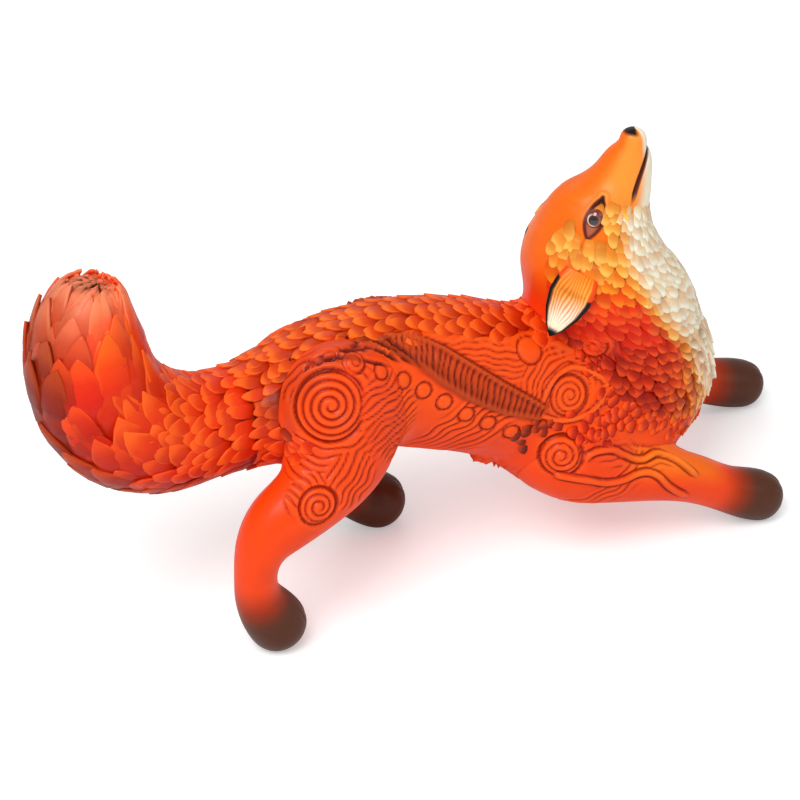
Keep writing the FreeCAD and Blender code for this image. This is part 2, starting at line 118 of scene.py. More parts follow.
def dot(one: Array, other: Array) -> Array:
    """The dot products of two arrays of vectors."""
    return np.sum(one * other, axis=-1)


def step(low: float, high: float, value: Array) -> Array:
    """0 below low, 1 above high and smooth between. With low above high it falls instead."""
    share = np.clip((value - low) / (high - low), 0.0, 1.0)
    return share * share * (3.0 - 2.0 * share)


def bell(value: Array) -> Array:
    """A smooth bump: 1 at zero, falling off as a Gaussian does."""
    return np.exp(-value * value)


def groove(phase: Array, width: float) -> Array:
    """1 at each whole number of the phase, falling to 0 over width of a turn on both sides."""
    return bell((phase - np.round(phase)) / width)


def ridges(phase: Array) -> Array:
    """Round ridges side by side: 0 at each whole number of the phase and 1 half way between."""
    return np.abs(np.sin(np.pi * phase)) ** 0.7


def waver(points: Array) -> Array:
    """The unevenness of lines cut by hand, from -1 to 1: two slow waves over x and z."""
    x, z = points[..., 0], points[..., 2]
    return 0.5 * np.sin(0.43 * x + 0.86 * z) + 0.5 * np.sin(0.81 * x - 0.49 * z + 1.7)


def mix(one: Array, other: Array, share: Array) -> Array:
    """Colours one and other, mixed by a share for each point."""
    return one + (other - one) * np.asarray(share)[..., None]


@dataclass(frozen=True)
class Ring:
    """One ring of a form: an ellipse square to along, its width along side. Millimetres."""

    centre: Array
    along: Array
    side: Array
    wide: float
    deep: float


def round_end(last: Ring, outward: Array, rise: float = 0.0) -> list[Ring]:
    """The rings that round off a form beyond its last ring.

    Args:
        last: the ring to go on from.
        outward: the way the end points.
        rise: how far past the middle of the end's ball the last ring stands, over the ball's radius.

    Returns:
        Rings that shrink to a point as the latitudes of a ball do.
    """
    start = math.asin(rise)
    rings = []
    for share in END_SHARES:
        turn = start + (math.pi / 2 - start) * share
        reach = last.deep / math.cos(start) * (math.sin(turn) - math.sin(start))
        shrink = max(math.cos(turn) / math.cos(start), 1e-3)
        centre = last.centre + outward * reach
        rings.append(Ring(centre, last.along, last.side, last.wide * shrink, last.deep * shrink))
    return rings


def ball_rings(balls: list[tuple[Array, float, float]], flat_first: Array | None = None) -> list[Ring]:
    """The rings along which a row of balls touches its common skin, rounded off at the ends.

    Args:
        balls: centre, half width and half depth of each.
        flat_first: where given, the form starts flat and square to this direction.

    Returns:
        The rings from one end of the form to the other.
    """
    rings = []
    slopes = []
    last = len(balls) - 1
    for number, (centre, wide, deep) in enumerate(balls):
        before = balls[max(number - 1, 0)]
        after = balls[min(number + 1, last)]
        way = after[0] - before[0]
        slope = float(np.clip((after[2] - before[2]) / np.linalg.norm(way), -STEEPEST, STEEPEST))
        across = math.sqrt(1 - slope * slope)
        along = unit(way)
        rings.append(Ring(centre - along * (deep * slope), along, RIGHT, wide * across, deep * across))
        slopes.append(slope)
    end = round_end(rings[-1], rings[-1].along, -slopes[-1])
    if flat_first is None:
        start = round_end(rings[0], -rings[0].along, slopes[0])[::-1]
        return start + rings + end
    centre, wide, deep = balls[0]
    rings[0] = Ring(centre, flat_first, RIGHT, wide, deep)
    return rings + end


class Form:
    """The smooth form of one casting: an elliptical tube whose ring changes along a path.

    Each quantity of the rings runs through its values on a natural cubic spline. The place along
    the form is the length in millimetres, measured up its back over the rings.
    """

    def __init__(self, rings: list[Ring]) -> None:
        """Fits the splines through the rings.

        Args:
            rings: the rings that the form passes, in order.
        """
        self.table = np.array([np.hstack([r.centre, r.along, r.side, r.wide, r.deep]) for r in rings])
        steps = np.linalg.norm(np.diff(self.table[:, [0, 1, 2, 10]], axis=0), axis=1)
        self.knots = np.hstack([0.0, np.cumsum(steps)])
        self.length = float(self.knots[-1])
        self.bends = self._bends(steps)
        self.neighbours: list["Form"] = []
        self.places = np.linspace(0.0, self.length, SAMPLES)
        self.rings = self.ring(self.places)
        reach = np.maximum(self.rings[4], self.rings[5])[:, None] + FILLET
        self.low = (self.rings[0] - reach).min(axis=0)
        self.high = (self.rings[0] + reach).max(axis=0)

    def _bends(self, steps: Array) -> Array:
        """Second derivatives of the natural cubic spline through the table's columns.

        Args:
            steps: how far it is from each ring to the next.

        Returns:
            A row for each ring.
        """
        count = len(steps) + 1
        matrix = np.eye(count)
        right = np.zeros_like(self.table)
        inner = np.arange(1, count - 1)
        matrix[inner, inner - 1] = steps[:-1]
        matrix[inner, inner] = 2 * (steps[:-1] + steps[1:])
        matrix[inner, inner + 1] = steps[1:]
        rates = np.diff(self.table, axis=0) / steps[:, None]
        right[inner] = 6 * (rates[1:] - rates[:-1])
        return np.linalg.solve(matrix, right)

    def ring(self, places: Array) -> tuple[Array, ...]:
        """Centre, along, side, up, half width and half depth at each place, straight on past the ends.

        Args:
            places: lengths along the form.

        Returns:
            The six, each for all the places.
        """
        flat = np.clip(np.asarray(places, float), 0.0, self.length)
        number = np.clip(np.searchsorted(self.knots, flat, side="right") - 1, 0, len(self.knots) - 2)
        span = self.knots[number + 1] - self.knots[number]
        far = ((flat - self.knots[number]) / span)[..., None]
        near = 1.0 - far
        curve = (near ** 3 - near) * self.bends[number] + (far ** 3 - far) * self.bends[number + 1]
        row = near * self.table[number] + far * self.table[number + 1] + curve * (span ** 2 / 6)[..., None]
        along = unit(row[..., 3:6])
        side = row[..., 6:9]
        side = unit(side - along * dot(side, along)[..., None])
        wide = np.maximum(row[..., 9], 1e-3)
        deep = np.maximum(row[..., 10], 1e-3)
        centre = row[..., :3] + along * (np.asarray(places, float) - flat)[..., None]
        return centre, along, side, np.cross(side, along), wide, deep

    def gap(self, points: Array) -> Array:
        """Signed distance from points to the form, near enough: below zero inside, FAR if far off.

        The ring nearest to each point is found among samples, moved along to the point's own plane,
        and the point's distance past that ring's edge is taken in the plane.

        Args:
            points: the places, in millimetres.

        Returns:
            The distance for each point.
        """
        flat = points.reshape(-1, 3)
        result = np.full(len(flat), FAR)
        near = np.flatnonzero(np.all((flat > self.low) & (flat < self.high), axis=1))
        for start in range(0, len(near), CHUNK):
            chosen = near[start:start + CHUNK]
            result[chosen] = self._gap(flat[chosen])
        return result.reshape(points.shape[:-1])

    def _gap(self, spots: Array) -> Array:
        """The signed distances of one chunk of points.

        Args:
            spots: a row for each point.

        Returns:
            The distance for each row.
        """
        centre, along, side, up, wide, deep = self.rings
        offset = spots[:, None, :] - centre[None]
        axial = dot(offset, along)
        over = self._over(dot(offset, side), dot(offset, up), wide, deep)
        measure = np.where(over > 0, np.hypot(over, axial), over + np.abs(axial))
        best = np.argmin(measure, axis=1)
        rate = np.maximum(dot(np.gradient(centre, self.places, axis=0), along), 0.25)
        pitch = self.places[1]
        shift = np.clip(axial[np.arange(len(spots)), best] / rate[best], -pitch, pitch)
        centre, along, side, up, wide, deep = self.ring(self.places[best] + shift)
        offset = spots - centre
        axial = dot(offset, along)
        over = self._over(dot(offset, side), dot(offset, up), wide, deep)
        return np.where(over > 0, np.hypot(over, axial), over)

    @staticmethod
    def _over(across: Array, upward: Array, wide: Array, deep: Array) -> Array:
        """How far a point in a ring's plane lies past the ring's edge, along the line from its middle."""
        share = np.maximum(np.hypot(across / wide, upward / deep), 1e-6)
        return np.hypot(across, upward) * (1 - 1 / share)

    def skin(self, places: Array, turns: Array) -> Array:
        """Points of the skin: centre + side * wide * cos(turn) + up * deep * sin(turn), filleted.

        Next to a neighbour the point is pushed out along its spoke by
        FILLET / 4 * (1 - |own gap - neighbour's gap| / FILLET) ** 2, so that both skins meet in a
        smooth fillet and go on inside each other.

        Args:
            places: lengths along the form.
            turns: angles round it, in radians.

        Returns:
            The point for each pair.
        """
        places, turns = np.broadcast_arrays(places, turns)
        centre, along, side, up, wide, deep = self.ring(places)
        spoke = side * (wide * np.cos(turns))[..., None] + up * (deep * np.sin(turns))[..., None]
        end = np.where(places > self.length / 2, 1e-4, -1e-4)[..., None]
        ray = unit(spoke + along * end)
        point = centre + spoke
        for other in self.neighbours:
            grown = np.zeros(places.shape)
            for _ in range(4):
                gap = other.gap(point + ray * grown[..., None])
                grown = FILLET / 4 * np.clip(1 - np.abs(grown - gap) / FILLET, 0.0, None) ** 2
            point = point + ray * grown[..., None]
        return point

    def patch(self, places: Array, turns: Array) -> tuple[Array, Array, Array, Array]:
        """Points of the skin with the vectors along and round it per unit, and the way out.

        Args:
            places: lengths along the form.
            turns: angles round it, in radians.

        Returns:
            The point, the two vectors and the way out, for each pair.
        """
        places, turns = np.broadcast_arrays(places, turns)
        point = self.skin(places, turns)
        back = np.where(places > self.length - 2 * NUDGE, -NUDGE, NUDGE)
        lengthwise = (self.skin(places + back, turns) - point) / back[..., None]
        around = (self.skin(places, turns + NUDGE) - point) / NUDGE
        return point, lengthwise, around, unit(np.cross(lengthwise, around))


def add_mesh(name: str, vertices: Array, faces: list[Array], colours: Array, finish: "Finish") -> Piece:
    """Makes an object of a mesh given in millimetres.

    Args:
        name: the piece's name.
        vertices: one row for each vertex.
        faces: arrays of vertex numbers, a row for each face. The rows of one array have one length.
        colours: the paint of each vertex.
        finish: what the piece is covered with.

    Returns:
        The object, linked to the scene, at the origin.
    """
    mesh = bpy.data.meshes.new(name)
    mesh.vertices.add(len(vertices))
    mesh.vertices.foreach_set("co", (vertices * MM).astype(np.float32).ravel())
    sizes = np.hstack([np.full(len(f), f.shape[1]) for f in faces])
    mesh.loops.add(int(sizes.sum()))
    mesh.loops.foreach_set("vertex_index", np.hstack([f.ravel() for f in faces]).astype(np.int32))
    mesh.polygons.add(len(sizes))
    starts = np.hstack([0, np.cumsum(sizes)[:-1]]).astype(np.int32)
    mesh.polygons.foreach_set("loop_start", starts)
    mesh.polygons.foreach_set("use_smooth", np.ones(len(sizes), bool))
    mesh.update(calc_edges=True)
    mesh.validate()
    layer = mesh.color_attributes.new("Paint", "FLOAT_COLOR", "POINT")
    opaque = np.column_stack([colours, np.ones(len(colours))])
    layer.data.foreach_set("color", opaque.astype(np.float32).ravel())
    piece = bpy.data.objects.new(name, mesh)
    bpy.context.scene.collection.objects.link(piece)
    mesh.materials.append(finish.material())
    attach(piece, "root")
    return piece


def add_tube(name: str, grid: Array, colours: Array, ends: Array, finish: "Finish",
             flip: bool = False) -> Piece:
    """Makes an object of a closed tube: its rings joined by quads, with a fan to a point at each end.

    Args:
        name: the piece's name.
        grid: the points in millimetres, a row for each ring.
        colours: the paint of each point.
        ends: the paint of the two end points.
        finish: what the piece is covered with.
        flip: whether the faces have to be turned, because the rings run the other way round.

    Returns:
        The object.
    """
    rows, columns = grid.shape[:2]
    number = np.arange(rows * columns).reshape(rows, columns)
    after = np.roll(number, -1, axis=1)
    quads = np.stack([number[:-1], number[1:], after[1:], after[:-1]], axis=-1).reshape(-1, 4)
    first = np.full(columns, rows * columns)
    fans = np.vstack([np.column_stack([first, number[0], after[0]]),
                      np.column_stack([first + 1, after[-1], number[-1]])])
    faces = [face[:, ::-1] if flip else face for face in (quads, fans)]
    vertices = np.vstack([grid.reshape(-1, 3), grid[0].mean(axis=0), grid[-1].mean(axis=0)])
    return add_mesh(name, vertices, faces, np.vstack([colours.reshape(-1, 3), ends]), finish)


class Skin:
    """A casting's skin on a grid of places along it and turns round it, to be carved and painted.

    The carved point is the point of the form's skin plus its normal times the carved height.
    """

    def __init__(self, form: Form, places: Array, turns: Array, base: Paint) -> None:
        """Lays the plain grid in one paint.

        Args:
            form: the form whose skin this is.
            places: lengths along it, one for each row.
            turns: angles round it, one for each column.
            base: the paint.
        """
        self.form = form
        self.places = places
        self.turns = turns
        self.points = form.skin(places[:, None], turns[None, :])
        self.normals = self._normals(self.points)
        self.height = np.zeros(self.points.shape[:2])
        self.colour = np.broadcast_to(base.rgb(), self.points.shape).copy()

    @staticmethod
    def _normals(points: Array) -> Array:
        """The ways out, from the differences along the grid and round it.

        Args:
            points: the grid's points.

        Returns:
            A vector of length one for each point.
        """
        lengthwise = np.gradient(points, axis=0)
        around = np.roll(points, -1, axis=1) - np.roll(points, 1, axis=1)
        return unit(np.cross(lengthwise, around))

    def carve(self, height: Array, mask: Array | float) -> None:
        """Replaces the height by another where the mask is 1."""
        self.height = self.height * (1 - mask) + height * mask

    def paint(self, colour: Paint, mask: Array) -> None:
        """Lays a paint over the skin where the mask is 1."""
        self.colour = mix(self.colour, colour.rgb(), mask)

    def hollows(self) -> Array:
        """How far each point lies below the middle height round it, in millimetres.

        Returns:
            The depth for each point.
        """
        soft = self.height
        for _ in range(6):
            soft = (np.roll(soft, 1, axis=1) + soft + np.roll(soft, -1, axis=1)) / 3
            soft = np.vstack([soft[:1], (soft[:-2] + soft[1:-1] + soft[2:]) / 3, soft[-1:]])
        return soft - self.height

    def build(self, name: str, finish: "Finish") -> Piece:
        """Makes the carved mesh, with painted shade in its hollows and painted highlights on its ridges.

        Args:
            name: the piece's name.
            finish: what it is covered with.

        Returns:
            The piece.
        """
        points = self.points + self.normals * self.height[..., None]
        points[..., 2] = np.maximum(points[..., 2], 0.0)
        # Painted shade where the carving dips below its surroundings, painted highlight on its ridges.
        shade = np.clip(self.hollows() / FULL_SHADE, -1.0, 1.0)
        colour = mix(self.colour, self.colour ** 1.35 * 0.30, np.clip(shade, 0, 1) * 0.9)
        colour = mix(colour, np.clip(colour ** 0.8 * 1.12, 0, 1), np.clip(-shade, 0, 1) * 0.6)
        colour = np.clip(colour, 0, 1)
        return add_tube(name, points, colour, colour[[0, -1]].mean(axis=1), finish)


class Body:
    """All the forms of the fox together, filleted into one skin."""

    def __init__(self, forms: dict[str, Form]) -> None:
        """Keeps the forms by name."""
        self.forms = forms

    def gap(self, points: Array) -> Array:
        """Signed distance to the common skin: the forms' gaps under a smooth minimum.

        Args:
            points: the places, in millimetres.

        Returns:
            The distance for each point.
        """
        result = np.full(points.shape[:-1], FAR)
        for form in self.forms.values():
            gap = form.gap(points)
            near = np.clip(1 - np.abs(result - gap) / FILLET, 0.0, None)
            result = np.minimum(result, gap) - FILLET / 4 * near ** 2
        return result

    def out(self, points: Array) -> Array:
        """The way out of the common skin at each point, from the slope of the gap.

        Args:
            points: the places, in millimetres.

        Returns:
            A vector of length one for each point.
        """
        shifts = np.eye(3) * 0.6
        rise = [self.gap(points + shift) - self.gap(points - shift) for shift in shifts]
        return unit(np.stack(rise, axis=-1))

    def seat(self, place: tuple[float, float], hand: int) -> tuple[Array, Array, Array, Array]:
        """A spot of the skin seen from the side: its point, the way out, forward and upward.

        Args:
            place: x and z of the spot.
            hand: -1 for the right side, 1 for the left.

        Returns:
            The four, each as one vector.
        """
        point = self.drop(place, hand)
        out = self.out(point)[0]
        forward = unit(FORWARD - out * dot(FORWARD, out))
        return point[0], out, forward, np.cross(forward, out) * hand

    def drop(self, places: Array, hand: int) -> Array:
        """Points of the skin seen from the side at (x, z) places.

        Args:
            places: x and z of each point, in millimetres.
            hand: -1 for the fox's right side, 1 for its left.

        Returns:
            The first points that lines along Y meet when they come in from that side.
        """
        places = np.atleast_2d(np.asarray(places, float))
        levels = hand * np.linspace(44.0, 0.0, 17)
        lines = np.empty((len(places), len(levels), 3))
        lines[..., 0] = places[:, :1]
        lines[..., 1] = levels
        lines[..., 2] = places[:, 1:]
        inside = self.gap(lines) < 0
        first = np.where(inside.any(axis=1), inside.argmax(axis=1), len(levels) - 1)
        out = levels[np.maximum(first - 1, 0)]
        within = levels[first]
        for _ in range(12):
            half = (out + within) / 2
            deep = self.gap(np.column_stack([places[:, 0], half, places[:, 1]])) < 0
            within = np.where(deep, half, within)
            out = np.where(deep, out, half)
        return np.column_stack([places[:, 0], within, places[:, 1]])


def smooth_line(way: Array, pitch: float = 0.8) -> Array:
    """Points a pitch apart on a Catmull-Rom curve through the way's points, in any dimension.

    Args:
        way: the points to pass, in order.
        pitch: about how far apart the new ones are.

    Returns:
        The new points, up to the way's last.
    """
    way = np.asarray(way, float)
    ends = np.vstack([2 * way[0] - way[1], way, 2 * way[-1] - way[-2]])
    pieces = []
    for a, b, c, d in zip(ends[:-3], ends[1:-2], ends[2:-1], ends[3:]):
        count = max(2, int(np.linalg.norm(c - b) / pitch))
        t = (np.arange(count) / count)[:, None]
        square = (2 * a - 5 * b + 4 * c - d) * t ** 2
        cube = (3 * b - a - 3 * c + d) * t ** 3
        pieces.append((2 * b + (c - a) * t + square + cube) / 2)
    return np.vstack(pieces + [way[-1:]])


class Trail:
    """A smooth line drawn over the skin, with its own measures along and across it."""

    def __init__(self, body: Body, way: tuple, hand: int) -> None:
        """Drops the smooth way on the skin from the side and measures it.

        Args:
            body: the forms that it lies on.
            way: x and z of the points that it passes.
            hand: -1 for the right side, 1 for the left.
        """
        self.points = body.drop(smooth_line(way), hand)
        self.out = body.out(self.points)
        self.along = unit(np.gradient(self.points, axis=0))
        self.across = unit(np.cross(self.out, self.along)) * -hand
        steps = np.linalg.norm(np.diff(self.points, axis=0), axis=1)
        self.arc = np.hstack([0.0, np.cumsum(steps)])
        self.length = float(self.arc[-1])

    def locate(self, skin: Skin, reach: float) -> tuple[Array, Array, Array]:
        """Where the skin's points lie by the line.

        Args:
            skin: the skin.
            reach: how far from the line counts, in millimetres.

        Returns:
            The length along the line, the distance across it, above zero over it in a side view,
            and whether the point is within reach.
        """
        shape = skin.height.shape
        flat = skin.points.reshape(-1, 3)
        low = self.points.min(axis=0) - reach
        high = self.points.max(axis=0) + reach
        inside = np.flatnonzero(np.all((flat > low) & (flat < high), axis=1))
        arc = np.full(len(flat), -FAR)
        across = np.full(len(flat), FAR)
        for start in range(0, len(inside), CHUNK):
            chosen = inside[start:start + CHUNK]
            far = ((flat[chosen][:, None] - self.points[None]) ** 2).sum(axis=-1)
            best = far.argmin(axis=1)
            offset = flat[chosen] - self.points[best]
            arc[chosen] = self.arc[best] + dot(offset, self.along[best])
            across[chosen] = dot(offset, self.across[best])
            lost = far[np.arange(len(chosen)), best] > (reach * 1.5) ** 2
            across[chosen[lost]] = FAR
        arc = arc.reshape(shape)
        across = across.reshape(shape)
        return arc, across, (np.abs(across) < reach) & (arc > -1.0) & (arc < self.length + 1.0)


@dataclass
class Line:
    """An ornament drawn along a way of x and z places on one side of the body."""

    body: Body
    way: tuple
    hand: int

    def __post_init__(self) -> None:
        """Lays the way on the skin."""
        self.trail = Trail(self.body, self.way, self.hand)


@dataclass
class Stroke(Line):
    """A line drawn with a round tool: a cut, or a raised ribbon with a cut along both edges.

    A ribbon's profile is rise * (1 - (across / width)^2)^0.6 with bells cut beyond its edges, and a
    cut, whose rise is below zero, is a bell of its own.
    """

    width: float
    rise: float
    stain: Paint | None = None

    def carve(self, skin: Skin) -> None:
        """Works the line into a skin.

        Args:
            skin: the skin to work on.
        """
        arc, across, near = self.trail.locate(skin, 3 * self.width + 1)
        taper = step(-0.5, 3.0, arc) * step(self.trail.length + 0.5, self.trail.length - 4.0, arc)
        taper = np.where(near, taper, 0.0)
        share = across / (self.width * (0.35 + 0.65 * taper))
        if self.stain is not None:
            skin.paint(self.stain, step(1.4, 0.9, np.abs(share)) * taper)
        if self.rise < 0:
            skin.height = skin.height + self.rise * bell(share) * taper
            return
        top = self.rise * np.clip(1 - share ** 2, 0.0, 1.0) ** 0.6
        edge = -0.45 * self.rise * bell((np.abs(share) - 1.3) / 0.35)
        skin.carve((top + edge) * taper, step(1.7, 1.35, np.abs(share)) * taper)


@dataclass
class Mark:
    """An ornament round one x and z place on one side of the body."""

    body: Body
    place: tuple[float, float]
    hand: int


@dataclass
class Disc(Mark):
    """A round ornament on the skin: a coil, rings or a plain stamp on a low dome.

    height = dome * (1 - (r / radius)^2) + 1.3 * depth * (ridges(phase) - 1), where the phase is
    r / pitch - wind * angle / turn + start, with a deeper cut round the edge. A wind of 0 gives
    closed rings.
    """

    radius: float
    pitch: float
    depth: float
    dome: float
    wind: int = 1
    start: float = 0.0

    def carve(self, skin: Skin) -> None:
        """Works the ornament into a skin.

        Args:
            skin: the skin to work on.
        """
        centre, out, forward, upward = self.body.seat(self.place, self.hand)
        offset = skin.points - centre
        radius = np.linalg.norm(offset, axis=-1)
        if radius.min() > self.radius:
            return
        angle = np.arctan2(dot(offset, upward), dot(offset, forward)) / (2 * np.pi)
        facing = step(0.0, 0.4, dot(skin.normals, out))
        share = radius / self.radius
        phase = radius / self.pitch - self.wind * angle + self.start
        inner = step(0.25 * self.pitch, 0.6 * self.pitch, radius) * step(1.0, 0.92, share)
        height = self.dome * np.clip(1 - share ** 2, 0, 1)
        height = height + 1.3 * self.depth * (ridges(phase) - 1) * inner
        height = height - 1.2 * self.depth * bell((radius - self.radius) / 0.5)
        skin.carve(height, step(1.12, 1.02, share) * facing)


@dataclass
class Ripples(Mark):
    """Wavy lines side by side over an oval patch, or arcs round a far centre.

    The lines are the valleys of ridges((across + sway * sin(along) + waver / 2) / pitch). With a
    centre given, along is the angle round it and across the distance from it.
    """

    reach: tuple[float, float]
    pitch: float
    depth: float
    lean: float = 0.0
    sway: float = 0.0
    wave: float = 9.0
    centre: tuple[float, float] | None = None

    def carve(self, skin: Skin) -> None:
        """Works the lines into a skin.

        Args:
            skin: the skin to work on.
        """
        middle, out, forward, upward = self.body.seat(self.place, self.hand)
        turn = math.radians(self.lean)
        one = forward * math.cos(turn) + upward * math.sin(turn)
        other = upward * math.cos(turn) - forward * math.sin(turn)
        offset = skin.points - middle
        if np.linalg.norm(offset, axis=-1).min() > max(self.reach):
            return
        along = dot(offset, one)
        across = dot(offset, other)
        oval = np.hypot(along / self.reach[0], across / self.reach[1])
        facing = step(0.0, 0.4, dot(skin.normals, out)) * step(9.0, 6.0, np.abs(dot(offset, out)))
        if self.centre is not None:
            pole = self.body.drop(self.centre, self.hand)[0]
            offset = skin.points - pole
            across = np.linalg.norm(offset, axis=-1)
            along = np.arctan2(dot(offset, upward), dot(offset, forward)) * self.wave
        swing = self.sway * np.sin(2 * np.pi * along / self.wave)
        phase = (across + swing + 0.5 * waver(skin.points)) / self.pitch
        height = self.depth * (1.5 * ridges(phase) - 1.1)
        skin.carve(height, step(1.1, 0.85, oval) * facing)


@dataclass
class Plume(Line):
    """A feather laid along the flank: barbs that hang from an edge line down to a shaft.

    Across the feather the barbs' grooves are at each whole number of
    (along - lean * across - bow * across^2) / pitch.
    """

    width: tuple
    pitch: float
    depth: float
    lean: float
    bow: float

    def carve(self, skin: Skin) -> None:
        """Works the feather into a skin and stains it.

        Args:
            skin: the skin to work on.
        """
        arc, across, near = self.trail.locate(skin, max(self.width) + 2.5)
        share = np.clip(arc / self.trail.length, 0, 1)
        width = np.interp(share, np.linspace(0, 1, len(self.width)), self.width)
        down = -across
        over = down / np.maximum(width, 0.1)
        inside = step(-0.12, 0.02, over) * step(1.12, 0.98, over) * np.where(near, 1.0, 0.0)
        inside = inside * step(-0.5, 2.0, arc) * step(self.trail.length + 0.5, self.trail.length - 2.0, arc)
        phase = (arc - self.lean * down - self.bow * down ** 2 + 0.4 * waver(skin.points)) / self.pitch
        ridge = np.abs(np.cos(np.pi * (phase - 0.5))) ** 0.5
        height = self.depth * (ridge - 0.75) * step(0.0, 0.12, over) * step(1.0, 0.82, over)
        height = height + 0.9 * self.depth * bell((over - 0.93) * width / 0.9)
        height = height + 1.2 * self.depth * bell((over * width - 0.6) / 0.6)
        height = height - 1.3 * self.depth * bell((over * width + 0.5) / 0.4)
        skin.carve(height, inside)
        skin.paint(Paint.RUST, inside * PLUME_STAIN * (0.75 + 0.25 * step(0.2, 0.9, over)))


@dataclass(frozen=True)
class Leaf:
    """The shape of one scale, feather or petal, from its root at 0 to its tip at 1.

    Half width = (1 - x^blunt)^sharp of the full half width, with x growing from 0 at the widest
    place to 1 at the tip. The top lies thick + lift * u^rise + crown * (1 - v^2) over the leaf's bed.
    """

    blunt: float = 2.2
    sharp: float = 0.5
    widest: float = 0.45
    root: float = 0.75
    crown: float = 0.35
    rib: float = 0.0
    thick: float = 0.55
    rise: float = 1.3
    stiff: float = 0.0
    shares: tuple = (0.0, 0.35, 0.62, 0.82, 0.94, 1.0)
    spans: tuple = (-1.0, -0.72, 0.0, 0.72, 1.0)

    def half_width(self) -> Array:
        """The half width at each share, over the full one.

        Returns:
            A number for each share.
        """
        u = np.array(self.shares)
        beyond = np.clip((u - self.widest) / (1 - self.widest), 0, 1)
        before = self.root + (1 - self.root) * np.clip(u / self.widest, 0, 1)
        return np.maximum(before * (1 - beyond ** self.blunt) ** self.sharp, 0.04)


